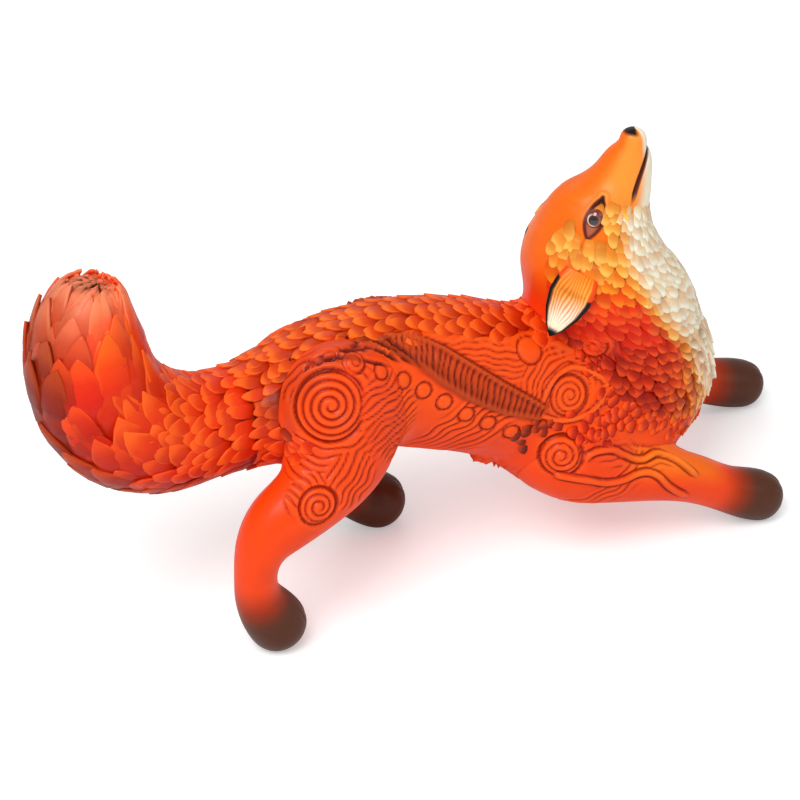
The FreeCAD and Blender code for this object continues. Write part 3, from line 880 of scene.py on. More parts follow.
@dataclass
class Plumage:
    """Many leaves of one shape laid over a form, in one mesh."""

    form: Form
    leaf: Leaf
    place: Array
    turn: Array
    length: Array
    width: Array
    lean: Array
    lift: Array
    tone: Array
    colour: Array
    bed: float
    shadow: float
    edge: float
    tips: Paint | None = None

    def build(self, name: str) -> Piece:
        """Lays the leaves and makes them one piece.

        Args:
            name: the piece's name.

        Returns:
            The piece.
        """
        u = np.array(self.leaf.shares)[None, :, None]
        v = np.array(self.leaf.spans)[None, None, :]
        upper, lower = self._points(u, v)
        vertices = np.concatenate([upper, lower], axis=2)
        colours = self._colours(u, vertices.shape[:3])
        faces = self._faces(*upper.shape[:3])
        return add_mesh(name, vertices.reshape(-1, 3), faces, colours.reshape(-1, 3), PAINTED)

    def _points(self, u: Array, v: Array) -> tuple[Array, Array]:
        """The points of the leaves' tops and of their lower rims.

        Each is taken to its place and turn on the form by the leaf's own length and width over the
        form's stretch there, and raised along the way out.

        Args:
            u: shares of the length, from root to tip.
            v: places across, from -1 to 1.

        Returns:
            The tops by leaf, share and place across, and the lower points under both rims.
        """
        root, lengthwise, around, out = self.form.patch(self.place, self.turn)
        cos = np.cos(self.lean)[:, None, None]
        sin = np.sin(self.lean)[:, None, None]
        down = u * self.length[:, None, None] + 0 * v
        across = v * self.leaf.half_width()[None, :, None] * self.width[:, None, None] / 2
        stretch = np.maximum(np.linalg.norm(lengthwise, axis=-1), 0.55)[:, None, None]
        round_stretch = np.maximum(np.linalg.norm(around, axis=-1), 0.5)[:, None, None]
        places = self.place[:, None, None] + (down * cos - across * sin) / stretch
        turns = self.turn[:, None, None] + (down * sin + across * cos) / round_stretch
        hugging, _, _, normal = self.form.patch(places, turns)
        tangent = unit(lengthwise)
        binormal = np.cross(out, tangent)
        ahead = tangent * np.cos(self.lean)[:, None] + binormal * np.sin(self.lean)[:, None]
        aside = binormal * np.cos(self.lean)[:, None] - tangent * np.sin(self.lean)[:, None]
        straight = (root[:, None, None] + ahead[:, None, None] * down[..., None]
                    + aside[:, None, None] * across[..., None])
        stiff = (self.leaf.stiff * u ** 1.5)[..., None] + 0 * hugging[..., :1]
        base = hugging + (straight - hugging) * stiff
        normal = unit(normal + (out[:, None, None] - normal) * stiff)
        bulge = self.leaf.crown * (1 - v ** 2) * np.sin(np.pi * np.clip(u * 0.75 + 0.2, 0, 1))
        bulge = bulge + self.leaf.rib * bell(v / 0.3) * (1 - u)
        size = (self.width / np.mean(self.width))[:, None, None]
        lift = self.lift[:, None, None] * u ** self.leaf.rise
        top = self.leaf.thick * step(0.0, 0.3, u) + lift + bulge * size
        top = top - self.bed - LEAF_SINK
        rims = top[..., ::4]
        hugged = -self.bed - LEAF_WALL + 0 * rims
        sunk = np.where(self.leaf.stiff > 0, rims - self.leaf.thick - LEAF_WALL, hugged)
        return base + normal * top[..., None], base[:, :, ::4] + normal[:, :, ::4] * sunk[..., None]

    @staticmethod
    def _faces(count: int, rows: int, columns: int) -> list[Array]:
        """The faces of the leaves: their tops, walls and undersides, and caps at tip and root.

        Args:
            count: how many leaves there are.
            rows: the rows of points along each.
            columns: the points across its top.

        Returns:
            Arrays with a face in each row.
        """
        number = np.arange(count * rows * (columns + 2)).reshape(count, rows, columns + 2)
        here = number[:, :-1, :columns - 1]
        quads = [np.stack([here, here + columns + 2, here + columns + 3, here + 1], axis=-1)]
        left, left_low = number[:, :, 0], number[:, :, columns]
        right, right_low = number[:, :, columns - 1], number[:, :, columns + 1]
        for one, other in ((left_low, left), (right, right_low), (right_low, left_low)):
            quads.append(np.stack([one[:, :-1], one[:, 1:], other[:, 1:], other[:, :-1]], axis=-1))
        tips = np.column_stack([number[:, -1, :columns][:, ::-1], left_low[:, -1:], right_low[:, -1:]])
        roots = np.column_stack([number[:, 0, :columns], right_low[:, :1], left_low[:, :1]])
        return [quad.reshape(-1, 4) for quad in quads] + [tips, roots]

    def _colours(self, u: Array, shape: tuple) -> Array:
        """Colours of a leaf: painted shade at its root and under its edges, a painted highlight towards its
        tip.

        Args:
            u: the share of the length, for each row.
            shape: how many leaves, rows and points in a row there are.

        Returns:
            A colour for each point.
        """
        _, rows, columns = shape
        base = np.clip(self.colour * self.tone[:, None], 0, 1)[:, None, None, :]
        base = base * np.ones((1, rows, columns, 1))
        # Painted shade: the dark colour at the root and on the walls under the rims.
        dark = base ** 1.35 * self.shadow * np.array((1.3, 0.9, 0.65))
        light = np.clip(base ** 0.8 * 1.15, 0, 1)
        share = np.broadcast_to(u, (1, rows, columns))
        rim = np.zeros((1, rows, columns))
        rim[..., -2:] = 1.0
        shade = np.clip(step(0.85, 0.42, share) * 0.85 + rim * 0.95, 0, 1)
        # Painted highlight towards the tip and along one border, where the leaf's edge would catch the light.
        glow = step(0.6, 0.95, share) * (1 - rim) * 0.6
        border = np.zeros((1, rows, columns))
        border[..., [0, -3]] = self.edge
        glow = np.maximum(glow, border * step(0.3, 0.7, share))
        colours = mix(mix(base, dark, np.broadcast_to(shade, shape)), light, np.broadcast_to(glow, shape))
        if self.tips is not None:
            colours = mix(colours, self.tips.rgb(), np.broadcast_to(0.7 * step(0.86, 1.0, share), shape))
        return colours


@dataclass
class Roots:
    """Where leaves stand on a form: place, turn, and the gaps between rows and within a row."""

    place: Array
    turn: Array
    pitch: Array
    gap: float

    def where(self, keep: Array) -> "Roots":
        """Only the roots where keep is true."""
        return Roots(self.place[keep], self.turn[keep], self.pitch[keep], self.gap)


@dataclass(frozen=True)
class Rows:
    """Staggered rows of leaves on a form.

    They run from place start to stop, which may be before it, with a first gap of pitch that grows
    by the factor grow from row to row. Each has its leaves in so many columns between two turns, in
    degrees, and jitter is the random shift over the gaps.
    """

    start: float
    stop: float
    pitch: float
    grow: float
    turns: tuple[float, float]
    columns: int
    jitter: float

    def roots(self, rng: np.random.Generator) -> Roots:
        """Where the leaves stand, shifted at random.

        Args:
            rng: the source of the random shifts.

        Returns:
            The roots.
        """
        places = [self.start]
        gaps = [self.pitch]
        sign = 1 if self.stop > self.start else -1
        while (self.stop - places[-1]) * sign > gaps[-1]:
            places.append(places[-1] + sign * gaps[-1])
            gaps.append(gaps[-1] * self.grow)
        gap = math.radians(self.turns[1] - self.turns[0]) / self.columns
        row, column = np.meshgrid(np.arange(len(places)), np.arange(self.columns), indexing="ij")
        turn = math.radians(self.turns[0]) + (column + 0.5 * (row % 2) + 0.25) * gap
        pitches = np.array(gaps)[row]
        place = np.array(places)[row] + rng.uniform(-self.jitter, self.jitter, row.shape) * pitches
        turn = turn + rng.uniform(-self.jitter, self.jitter, row.shape) * gap
        return Roots(place.ravel(), turn.ravel(), pitches.ravel(), gap)


@dataclass(frozen=True)
class Coat:
    """How leaves of one kind are laid on a form and painted.

    A leaf is over times the gap between rows long and wide times the gap within a row wide. Its tip
    points along the form where way is 1 and back where it is -1, turned by up to twice the wander,
    in degrees, and stands low to high millimetres up. The leaves start bed under the form's skin.
    As painted shade their roots keep the share shadow of their colour; edge is one border's painted
    highlight.
    """

    leaf: Leaf
    over: float
    wide: float
    way: int
    low: float
    high: float
    wander: float
    bed: float
    shadow: float = 0.34
    edge: float = 0.0

    def lay(self, form: Form, roots: Roots, colour: Array, rng: np.random.Generator) -> Plumage:
        """Leaves on roots, sized by the gaps between them.

        Args:
            form: the form that they lie on.
            roots: where they stand.
            colour: a colour for each.
            rng: where the random turns and sizes come from.

        Returns:
            The leaves.
        """
        count = len(roots.place)
        _, _, around, _ = form.patch(roots.place, roots.turn)
        width = np.linalg.norm(around, axis=-1) * abs(roots.gap) * self.wide * rng.uniform(0.9, 1.15, count)
        length = roots.pitch * self.over * rng.uniform(0.9, 1.15, count)
        stray = rng.normal(0.0, self.wander, count).clip(-2 * self.wander, 2 * self.wander)
        lean = (0.0 if self.way > 0 else math.pi) + np.radians(stray)
        rise = rng.uniform(self.low, self.high, count)
        tone = rng.uniform(0.88, 1.1, count)
        return Plumage(form, self.leaf, roots.place, roots.turn, length, width, lean, rise, tone, colour,
                       self.bed, self.shadow, self.edge)


@dataclass(frozen=True)
class Measures:
    """The sizes of the castings, in millimetres and degrees, as the CAD model has them."""

    trunk_length: float = 133.0
    trunk_width: float = 49.0
    trunk_depth: float = 52.0
    hip_height: float = 67.0
    rump_setback: float = 64.9
    spine_offset: float = 5.7
    tail_reach: float = 43.1
    tail_rise: float = 46.5
    tail_thickness: float = 36.5
    head_height: float = 94.3
    head_lean: float = 14.5
    head_sway: float = 6.0
    neck_width: float = 49.0
    skull_width: float = 35.6
    muzzle_width: float = 14.4
    head_twist: float = 16.0
    face_tilt: float = 20.0
    thigh_width: float = 32.4
    shin_width: float = 12.0
    hind_foot_width: float = 17.0
    forearm_width: float = 14.4
    fore_foot_width: float = 15.2
    sole_depth: float = 0.6

    def trunk_point(self, along: float, height: float) -> Array:
        """A point of the trunk's middle plane, by shares of its length and of the hip's height."""
        ahead = along * self.trunk_length - self.rump_setback
        return np.array((ahead, -self.spine_offset, height * self.hip_height))


TRUNK_BALLS = (
    (0.00, 0.945, 0.58, 0.96), (0.07, 0.964, 0.63, 0.97), (0.15, 0.982, 0.71, 0.98),
    (0.24, 0.998, 0.78, 0.95), (0.34, 0.979, 0.81, 0.95), (0.43, 0.935, 0.84, 0.95),
    (0.52, 0.870, 0.85, 0.97), (0.62, 0.780, 0.88, 0.97), (0.72, 0.670, 0.96, 0.94),
    (0.82, 0.600, 0.94, 0.95), (0.90, 0.598, 0.78, 1.02), (0.96, 0.610, 0.56, 1.12),
    (1.00, 0.620, 0.32, 1.25),
)
TAIL_BALLS = (
    (0.239, -0.002, 0.80), (0.471, 0.018, 0.89), (0.745, 0.140, 0.98), (0.915, 0.350, 0.96),
    (0.975, 0.590, 0.87), (0.985, 0.790, 0.70), (0.955, 0.930, 0.46), (0.920, 1.000, 0.24),
)
NECK_RINGS = (
    (0.02, 0.115, 0.00, 0.84, 0.96, 0.0, 0.7), (0.10, 0.185, 0.00, 1.01, 0.94, 0.0, 0.6),
    (0.15, 0.275, 0.00, 1.05, 0.92, 0.1, 0.6), (0.40, 0.398, 0.02, 1.06, 0.92, 0.3, 0.5),
    (0.60, 0.497, 0.05, 1.03, 0.94, 0.6, 0.5),
)
SKULL_RINGS = (
    (0.74, 0.571, 0.10, 1.31, 0.96, 0.8, 0.5), (0.82, 0.645, 0.18, 1.12, 0.98, 1.0, 0.7),
    (0.84, 0.715, 0.30, 0.93, 1.00, 1.0, 0.9), (0.78, 0.774, 0.42, 0.75, 1.00, 1.0, 1.0),
)
MUZZLE_RINGS = (
    (0.62, 0.822, 0.55, 1.42, 0.98, 1.0, 0.9), (0.48, 0.884, 0.72, 1.08, 0.94, 1.0, 0.6),
    (0.41, 0.940, 0.88, 0.80, 0.94, 1.0, 0.4), (0.39, 0.976, 1.00, 0.54, 1.00, 1.0, 0.2),
)
RIGHT_HIND_BALLS = (
    ((0.00, -0.10, 1.090, 0.86, 0.66), (0.00, 0.00, 1.040, 1.00, 0.62), (0.02, 0.50, 0.870, 0.94, 0.68),
     (0.45, 1.15, 0.720, 0.70, 0.82), (0.94, 1.35, 0.624, 0.58, 0.92)),
    ((1.21, 1.50, 0.531, 1.17, 1.00), (1.29, 1.45, 0.379, 0.99, 1.00), (1.22, 1.20, 0.260, 1.12, 1.00)),
)
LEFT_HIND_BALLS = (
    ((0.00, -0.10, 0.960, 0.76, 0.66), (0.02, 0.12, 0.910, 0.88, 0.66), (0.22, 0.40, 0.780, 0.80, 0.72),
     (0.46, 0.80, 0.610, 0.66, 0.84), (0.52, 1.00, 0.480, 0.52, 0.94)),
    ((0.51, 1.05, 0.340, 1.12, 1.00), (0.64, 1.00, 0.210, 1.08, 1.00), (0.84, 1.00, 0.140, 1.20, 1.00)),
)
FORE_BALLS = (
    ((-0.06, -0.40, 0.510, 1.50, 0.84), (0.02, 0.00, 0.492, 1.70, 0.80), (0.20, 0.40, 0.412, 1.34, 0.90),
     (0.40, 0.80, 0.362, 1.12, 0.96), (0.62, 1.00, 0.290, 1.00, 1.00), (0.82, 1.00, 0.184, 0.96, 1.00)),
)


@dataclass(frozen=True)
class LegPlan:
    """One leg: where its joint is along the trunk, how it strides, and its tables of balls."""

    name: str
    hand: int
    joint: float
    spread: float
    stride: float
    splay: float
    tables: tuple
    widths: tuple
    foot: float

    def form(self, sizes: Measures) -> Form:
        """The leg's form, from inside the trunk to its paw.

        Args:
            sizes: the fox's measures.

        Returns:
            The form.
        """
        aside = self.hand * self.spread * sizes.trunk_width / 2
        joint = sizes.trunk_point(self.joint, 0) + np.array((0, aside, 0))
        balls = []
        for table, width in zip(self.tables, self.widths):
            for reach, out, height, thick, wide in table:
                up = height * sizes.hip_height
                place = np.array((reach * self.stride, self.hand * out * self.splay, up))
                balls.append((joint + place, width / 2 * thick * wide, width / 2 * thick))
        half = self.foot / 2
        paw = np.array((self.stride, self.hand * self.splay, half - sizes.sole_depth))
        balls.append((joint + paw, half, half))
        return Form(ball_rings(balls))


SIZES = Measures()
HIND_WIDTHS = (SIZES.thigh_width, SIZES.shin_width)
FORE_WIDTHS = (SIZES.forearm_width,)
HIND_FOOT = SIZES.hind_foot_width
FORE_FOOT = SIZES.fore_foot_width
# Name, hand, joint, spread, stride, splay, tables, widths and foot of each leg.
LEGS = (
    LegPlan("right_hind_leg", -1, 0.174, 0.61, -22.6, 5.5, RIGHT_HIND_BALLS, HIND_WIDTHS, HIND_FOOT),
    LegPlan("left_hind_leg", 1, 0.174, 0.61, 27.6, 7.5, LEFT_HIND_BALLS, HIND_WIDTHS, HIND_FOOT),
    LegPlan("right_foreleg", -1, 0.702, 0.69, 60.8, 5.0, FORE_BALLS, FORE_WIDTHS, FORE_FOOT),
    LegPlan("left_foreleg", 1, 0.702, 0.69, 88.2, 17.8, FORE_BALLS, FORE_WIDTHS, FORE_FOOT),
)


def trunk_form(sizes: Measures) -> Form:
    """The trunk, flat at the rump.

    Args:
        sizes: the fox's measures.

    Returns:
        The form.
    """
    balls = []
    for along, height, thick, wide in TRUNK_BALLS:
        deep = thick * sizes.trunk_depth / 2
        balls.append((sizes.trunk_point(along, height), thick * wide * sizes.trunk_width / 2, deep))
    return Form(ball_rings(balls, flat_first=FORWARD))


def tail_form(sizes: Measures) -> Form:
    """The tail, flat at the rump, on the trunk's own last ring.

    Args:
        sizes: the fox's measures.

    Returns:
        The form.
    """
    _, height, thick, wide = TRUNK_BALLS[0]
    rump = sizes.trunk_point(0, height)
    balls = [(rump, thick * wide * sizes.trunk_width / 2, thick * sizes.trunk_depth / 2)]
    for reach, rise, thick in TAIL_BALLS:
        half = thick * sizes.tail_thickness / 2
        balls.append((rump + np.array((-reach * sizes.tail_reach, 0, rise * sizes.tail_rise)), half, half))
    return Form(ball_rings(balls, flat_first=-FORWARD))


def turned(vector: Array, axis: Array, degrees: float) -> Array:
    """The vector turned about an axis of length one by the right hand.

    Args:
        vector: what is turned.
        axis: the axis.
        degrees: how far.

    Returns:
        The new vector.
    """
    angle = math.radians(degrees)
    along = axis * dot(vector, axis)
    return along + (vector - along) * math.cos(angle) + np.cross(axis, vector) * math.sin(angle)


def head_rings(sizes: Measures) -> list[Ring]:
    """The rings of the neck, skull and muzzle, which stand square to the face.

    Args:
        sizes: the fox's measures.

    Returns:
        The rings, from the neck's foot to the nose.
    """
    foot = sizes.trunk_point(0.910, 0.49)
    rings = []
    tables = (NECK_RINGS, SKULL_RINGS, MUZZLE_RINGS)
    for table, width in zip(tables, (sizes.neck_width, sizes.skull_width, sizes.muzzle_width)):
        for lean, rise, sway, thick, wide, twist, tilt in table:
            place = np.array((-lean * sizes.head_lean, -sway * sizes.head_sway, rise * sizes.head_height))
            along = turned(UP, -RIGHT, tilt * sizes.face_tilt)
            side = turned(RIGHT, along, -twist * sizes.head_twist)
            half = thick * width / 2
            rings.append(Ring(foot + place, along, side, half * wide, half))
    return rings


def head_form(sizes: Measures) -> Form:
    """The head with its neck, rounded at both ends.

    Args:
        sizes: the fox's measures.

    Returns:
        The form.
    """
    rings = head_rings(sizes)
    start = round_end(rings[0], -rings[0].along)[::-1]
    return Form(start + rings + round_end(rings[-1], rings[-1].along))


def make_forms() -> dict[str, Form]:
    """All the castings' forms, each told of the neighbours that it meets in a fillet.

    Returns:
        The forms by name.
    """
    forms = {"trunk": trunk_form(SIZES), "head": head_form(SIZES), "tail": tail_form(SIZES)}
    for plan in LEGS:
        forms[plan.name] = plan.form(SIZES)
        forms[plan.name].neighbours = [forms["trunk"]]
    forms["trunk"].neighbours = [forms[plan.name] for plan in LEGS] + [forms["head"]]
    forms["head"].neighbours = [forms["trunk"]]
    return forms


class Wire:
    """A socket's output in a shader, with arithmetic that adds Math nodes."""

    def __init__(self, kit: "Nodes", socket: bpy.types.NodeSocket) -> None:
        """Wraps the socket."""
        self.kit = kit
        self.socket = socket

    def _maths(self, operation: str, *values: "Wire | float") -> "Wire":
        """A Math node on the values."""
        return self.kit.node("ShaderNodeMath", {"operation": operation}, dict(enumerate(values)))

    def __add__(self, other: "Wire | float") -> "Wire":
        """The sum."""
        return self._maths("ADD", self, other)

    __radd__ = __add__

    def __mul__(self, other: "Wire | float") -> "Wire":
        """The product."""
        return self._maths("MULTIPLY", self, other)

    __rmul__ = __mul__

    def ramp(self, low: float, high: float) -> "Wire":
        """0 at low, 1 at high, held outside."""
        inputs = {0: self, 1: low, 2: high, 3: 0.0, 4: 1.0}
        return self.kit.node("ShaderNodeMapRange", {"clamp": True}, inputs)


class Nodes:
    """The node tree of a material or a world."""

    def __init__(self, owner: bpy.types.Material | bpy.types.World) -> None:
        """Empties the owner's tree.

        Args:
            owner: what the tree belongs to.
        """
        self.owner = owner
        owner.use_nodes = True
        self.tree = owner.node_tree
        self.tree.nodes.clear()

    def node(self, kind: str, settings: dict, inputs: dict, output: int | str = 0) -> Wire | None:
        """Adds a node.

        Args:
            kind: the node's type.
            settings: what is set on the node itself, before its inputs.
            inputs: values or wires for its sockets, by name or number.
            output: which output to give back.

        Returns:
            That output, or nothing for the tree's last node.
        """
        node = self.tree.nodes.new(kind)
        for key, value in settings.items():
            setattr(node, key, value)
        for key, value in inputs.items():
            if isinstance(value, Wire):
                self.tree.links.new(value.socket, node.inputs[key])
            else:
                node.inputs[key].default_value = value
        return Wire(self, node.outputs[output]) if len(node.outputs) else None

    def place(self, scale: float) -> Wire:
        """The point on the object, in millimetres over the scale."""
        point = self.node("ShaderNodeTexCoord", {}, {}, "Object")
        return self.node("ShaderNodeVectorMath", {"operation": "SCALE"}, {0: point, "Scale": 1 / MM / scale})

    def noise(self, size: float, detail: float = 3.0, roughness: float = 0.55) -> Wire:
        """Noise whose lumps are about size millimetres across, from 0 to 1."""
        inputs = {"Vector": self.place(size), "Scale": 1.0, "Detail": detail, "Roughness": roughness}
        return self.node("ShaderNodeTexNoise", {}, inputs)

    def blend(self, kind: str, share: Wire | float, one: Wire | tuple, other: Wire | tuple) -> Wire:
        """Two colours mixed in one of the Mix node's ways."""
        settings = {"data_type": "RGBA", "blend_type": kind}
        return self.node("ShaderNodeMix", settings, {0: share, 6: one, 7: other}, 2)

    def paint(self) -> Wire:
        """The mesh's own paint."""
        return self.node("ShaderNodeAttribute", {"attribute_name": "Paint"}, {}, "Color")

    def bump(self, height: Wire, depth: float) -> Wire:
        """A normal for a height whose full depth is given in millimetres."""
        return self.node("ShaderNodeBump", {}, {"Height": height, "Distance": depth * MM, "Strength": 1.0})

    def surface(self, inputs: dict) -> bpy.types.Material:
        """Ends the tree in a Principled shader with these inputs.

        Args:
            inputs: values or links by the names of sockets.

        Returns:
            The finished material.
        """
        shader = self.node("ShaderNodeBsdfPrincipled", {}, inputs)
        self.node("ShaderNodeOutputMaterial", {}, {"Surface": shader})
        return self.owner


@dataclass(frozen=True)
class Finish:
    """What a piece is covered with."""

    name: str

    def material(self) -> bpy.types.Material:
        """The finish's material, made at its first use."""
        known = bpy.data.materials.get(self.name)
        return known or self.make(Nodes(bpy.data.materials.new(self.name)))

    def make(self, kit: Nodes) -> bpy.types.Material:
        """Fills the material's node tree."""
        raise NotImplementedError


@dataclass(frozen=True)
class HandPaint(Finish):
    """Hand painted resin: the painted colours, brush streaks and speckle under a satin varnish."""

    roughness: float = 0.4
    coat: float = 0.06
    streak: float = 0.2
    grain: float = 0.05

    def make(self, kit: Nodes) -> bpy.types.Material:
        """Fills the node tree, from the mesh's own paint.

        Args:
            kit: the new material's nodes.

        Returns:
            The material.
        """
        paint = kit.paint()
        broad = kit.noise(7.0)
        fine = kit.noise(0.9, 4.0, 0.65)
        deep = kit.blend("MULTIPLY", 1.0, paint, (0.80, 0.66, 0.60, 1.0))
        colour = kit.blend("MIX", broad.ramp(0.42, 0.72) * self.streak * 2, paint, deep)
        light = kit.blend("ADD", 1.0, paint, (0.05, 0.035, 0.012, 1.0))
        colour = kit.blend("MIX", fine.ramp(0.52, 0.74) * self.streak, colour, light)
        height = kit.noise(0.7, 3.0) * 0.6 + kit.noise(3.0, 2.0)
        return kit.surface({
            "Base Color": colour,
            "Roughness": broad.ramp(0.3, 0.7) * 0.14 + (self.roughness - 0.05),
            "Coat Weight": self.coat,
            "Coat Roughness": 0.16,
            "Specular IOR Level": 0.14,
            "Normal": kit.bump(height, self.grain),
        })


@dataclass(frozen=True)
class Glass(Finish):
    """Polished glass of an eye, painted behind."""

    def make(self, kit: Nodes) -> bpy.types.Material:
        """Fills the node tree, from the mesh's own paint.

        Args:
            kit: the new material's nodes.

        Returns:
            The material.
        """
        paint = kit.paint()
        fleck = kit.blend("MULTIPLY", kit.noise(0.5).ramp(0.4, 0.7), paint, (0.7, 0.66, 0.62, 1.0))
        return kit.surface({
            "Base Color": fleck,
            "Roughness": 0.07,
            "Coat Weight": 1.0,
            "Coat Roughness": 0.03,
        })


@dataclass(frozen=True)
class Steel(Finish):
    """Drawn steel rod, with the die's fine lines along it."""

    def make(self, kit: Nodes) -> bpy.types.Material:
        """Fills the node tree.

        Args:
            kit: the new material's nodes.

        Returns:
            The material.
        """
        scratch = kit.noise(0.3, 4.0)
        colour = kit.blend("MIX", scratch, (0.42, 0.42, 0.43, 1.0), (0.62, 0.62, 0.63, 1.0))
        return kit.surface({
            "Base Color": colour,
            "Metallic": 1.0,
            "Roughness": scratch * 0.2 + 0.25,
            "Normal": kit.bump(scratch, 0.01),
        })


PAINTED = HandPaint("hand_painted_resin")
SMOOTH = HandPaint("smooth_painted_resin", roughness=0.36, coat=0.1, streak=0.14, grain=0.03)
EYE_GLASS = Glass("eye_glass")
STEEL = Steel("drawn_steel")


def spread(start: float, stop: float, pitch: float, fine: list[tuple[float, float, float]]) -> Array:
    """Grid lines from start to stop, closer together where fine work is.

    Args:
        start: the first line.
        stop: the last line.
        pitch: the gap elsewhere.
        fine: start, stop and gap of each fine stretch.

    Returns:
        The lines: equal steps of the running sum of one over the gap.
    """
    fine_scale = 1.0
    line = np.linspace(start, stop, 2000)
    gap = np.full(line.shape, pitch)
    for low, high, small in fine:
        edge = (high - low) * 0.06
        share = step(low - edge, low + edge, line) * step(high + edge, high - edge, line)
        gap = np.minimum(gap, pitch + (small - pitch) * share)
    tally = np.hstack([0.0, np.cumsum((line[1] - line[0]) / gap[1:])])
    count = max(int(tally[-1] / fine_scale), 8)
    return np.interp(np.linspace(0, tally[-1], count + 1), tally, line)


def ring_turns(pitch: float, fine: list[tuple[float, float, float]]) -> Array:
    """Turns once round a form, in radians, from gaps given in degrees. The last is left off."""
    return np.radians(spread(-180.0, 180.0, pitch, fine))[:-1]


def shades(paints: list[Paint], places: tuple, value: Array) -> Array:
    """Colours that run through paints as a value runs through places."""
    table = np.array([paint.rgb() for paint in paints])
    return np.stack([np.interp(value, places, table[:, n]) for n in range(3)], axis=-1)


SCALE = Leaf()
SLATE = Leaf(blunt=1.7, sharp=0.62, widest=0.42, crown=0.18, thick=0.5)
PLUME = Leaf(blunt=1.3, sharp=0.85, widest=0.42, crown=0.3, rib=0.25, thick=0.5)
PETAL = Leaf(blunt=1.6, sharp=0.75, widest=0.5, crown=0.45, rib=0.15, thick=0.6, stiff=0.08)
TUFT = replace(PETAL, stiff=0.0)
QUILL = Leaf(blunt=1.15, sharp=1.0, widest=0.3, crown=0.3, rib=0.3, thick=0.6)
KNOB = Leaf(blunt=1.5, sharp=0.65, widest=0.45, crown=0.32, thick=0.6)

BACK_COAT = Coat(SLATE, over=2.1, wide=1.25, way=-1, low=0.35, high=0.95,
                 wander=11.0, bed=0.6, shadow=0.42, edge=0.5)
RUMP_COAT = Coat(SLATE, over=2.0, wide=1.2, way=1, low=0.3, high=0.8,
                 wander=11.0, bed=0.4, shadow=0.42, edge=0.5)
SHOULDER_COAT = Coat(KNOB, over=1.7, wide=1.2, way=-1, low=0.2, high=1.2, wander=28.0, bed=0.5)
ELBOW_COAT = replace(SHOULDER_COAT, way=1)
ROOT_COAT = Coat(SLATE, over=2.1, wide=1.3, way=1, low=0.3, high=0.8,
                 wander=12.0, bed=0.5, shadow=0.55, edge=0.7)
FEATHER_COAT = replace(ROOT_COAT, leaf=PLUME, over=3.4, high=1.2)
PETAL_COAT = Coat(PETAL, over=3.8, wide=1.45, way=1, low=0.6, high=2.6,
                  wander=11.0, bed=0.5, shadow=0.6, edge=0.5)
CHEEK_COAT = Coat(SCALE, over=2.1, wide=1.25, way=-1, low=0.2, high=0.45,
                  wander=10.0, bed=0.7, shadow=0.62, edge=0.6)
JAW_COAT = replace(CHEEK_COAT, over=2.0, high=0.6)
NECK_COAT = replace(JAW_COAT, high=0.7)
MANE_COAT = Coat(KNOB, over=1.8, wide=1.25, way=-1, low=0.3, high=1.3, wander=24.0, bed=0.6)
RUFF_COAT = Coat(QUILL, over=3.4, wide=1.1, way=-1, low=0.8, high=2.2,
                 wander=9.0, bed=0.6, shadow=0.6, edge=0.7)


SCALE_EDGE = np.array((
    (-66.0, 62.0), (-58.0, 73.0), (-54.0, 78.5), (-48.0, 82.5), (-40.4, 85.0), (-19.9, 83.6), (-9.7, 81.0),
    (7.7, 75.6), (22.0, 72.5), (30.0, 68.0),
))
WASH = ((-58.0, 68.5), (-57.5, 75.0), (-53.0, 80.5), (-46.5, 84.5), (-38.0, 86.0), (-29.0, 85.0))
SPINE = 8.0
ALL_ROUND = (-180, 180)
BELOW_CROWN = (-238, 58)
EYE_SHAPE = ((15.4, 54.7), (20.6, 61.6), (28.0, 63.8), (34.9, 61.0), (37.6, 57.0), (34.2, 52.0), (28.1, 50.2),
             (21.1, 51.0), (15.0, 54.9))


def scale_edge(points: Array) -> Array:
    """The height above which scales cover the back: a line on the flanks, and all along the spine.

    Args:
        points: the places, in millimetres.

    Returns:
        A height for each point.
    """
    edge = np.interp(points[..., 0], SCALE_EDGE[:, 0], SCALE_EDGE[:, 1])
    spine = np.abs(points[..., 1] + SIZES.spine_offset) < SPINE
    return np.where((points[..., 0] < -54) | (spine & (points[..., 2] > 60)), -FAR, edge)


def wash(points: Array) -> Array:
    """How dark the umber wash behind and over the thigh is, by the distance from its line.

    Args:
        points: the places, in millimetres.

    Returns:
        A share from 0 to 1 for each point.
    """
    far = np.full(points.shape[:-1], FAR)
    for spot in smooth_line(WASH, 1.0):
        far = np.minimum(far, np.hypot(points[..., 0] - spot[0], points[..., 2] - spot[1]))
    return step(3.4, 0.4, far) * step(8.0, 12.0, np.abs(points[..., 1] + SIZES.spine_offset))


def back_tint(points: Array) -> Array:
    """The back's colour: orange-red, darker low on the flanks, under the umber wash.

    Args:
        points: the places, in millimetres.

    Returns:
        A colour for each point.
    """
    share = (points[..., 2] - np.interp(points[..., 0], (-60, 20), (62, 66))) / 20
    colour = shades([Paint.RED, Paint.ORANGE, Paint.AMBER], (-0.6, 0.5, 3.4), share)
    return mix(colour, Paint.UMBER.rgb(), 0.55 * wash(points))


def rough(points: Array) -> Array:
    """Where the shoulder and breast are covered in little locks: clear of the carved ornament.

    Args:
        points: the places, in millimetres.

    Returns:
        True or false for each point.
    """
    x, z = points[..., 0], points[..., 2]
    high = np.interp(x, (8, 14, 24, 40), (44, 49, 60, 74))
    low = np.interp(x, (6, 16, 26, 32, 50, 64, 80), (46, 40, 43, 42, 41, 36, 30))
    clear = np.hypot((x - 26.4) / 12.0, (z - 57.0) / 7.8) > 1
    elbow = np.hypot(x - ELBOW_COIL[0], z - ELBOW_COIL[1]) > 7.6
    return (x > 5) & (z > low) & (z < high) & clear & elbow


def rough_tint(points: Array) -> Array:
    """The little locks' colour: rust behind the elbow, red on the shoulder, orange on the breast."""
    return shades([Paint.RUST, Paint.RUST, Paint.RED, Paint.ORANGE], (5, 14, 30, 60), points[..., 0])


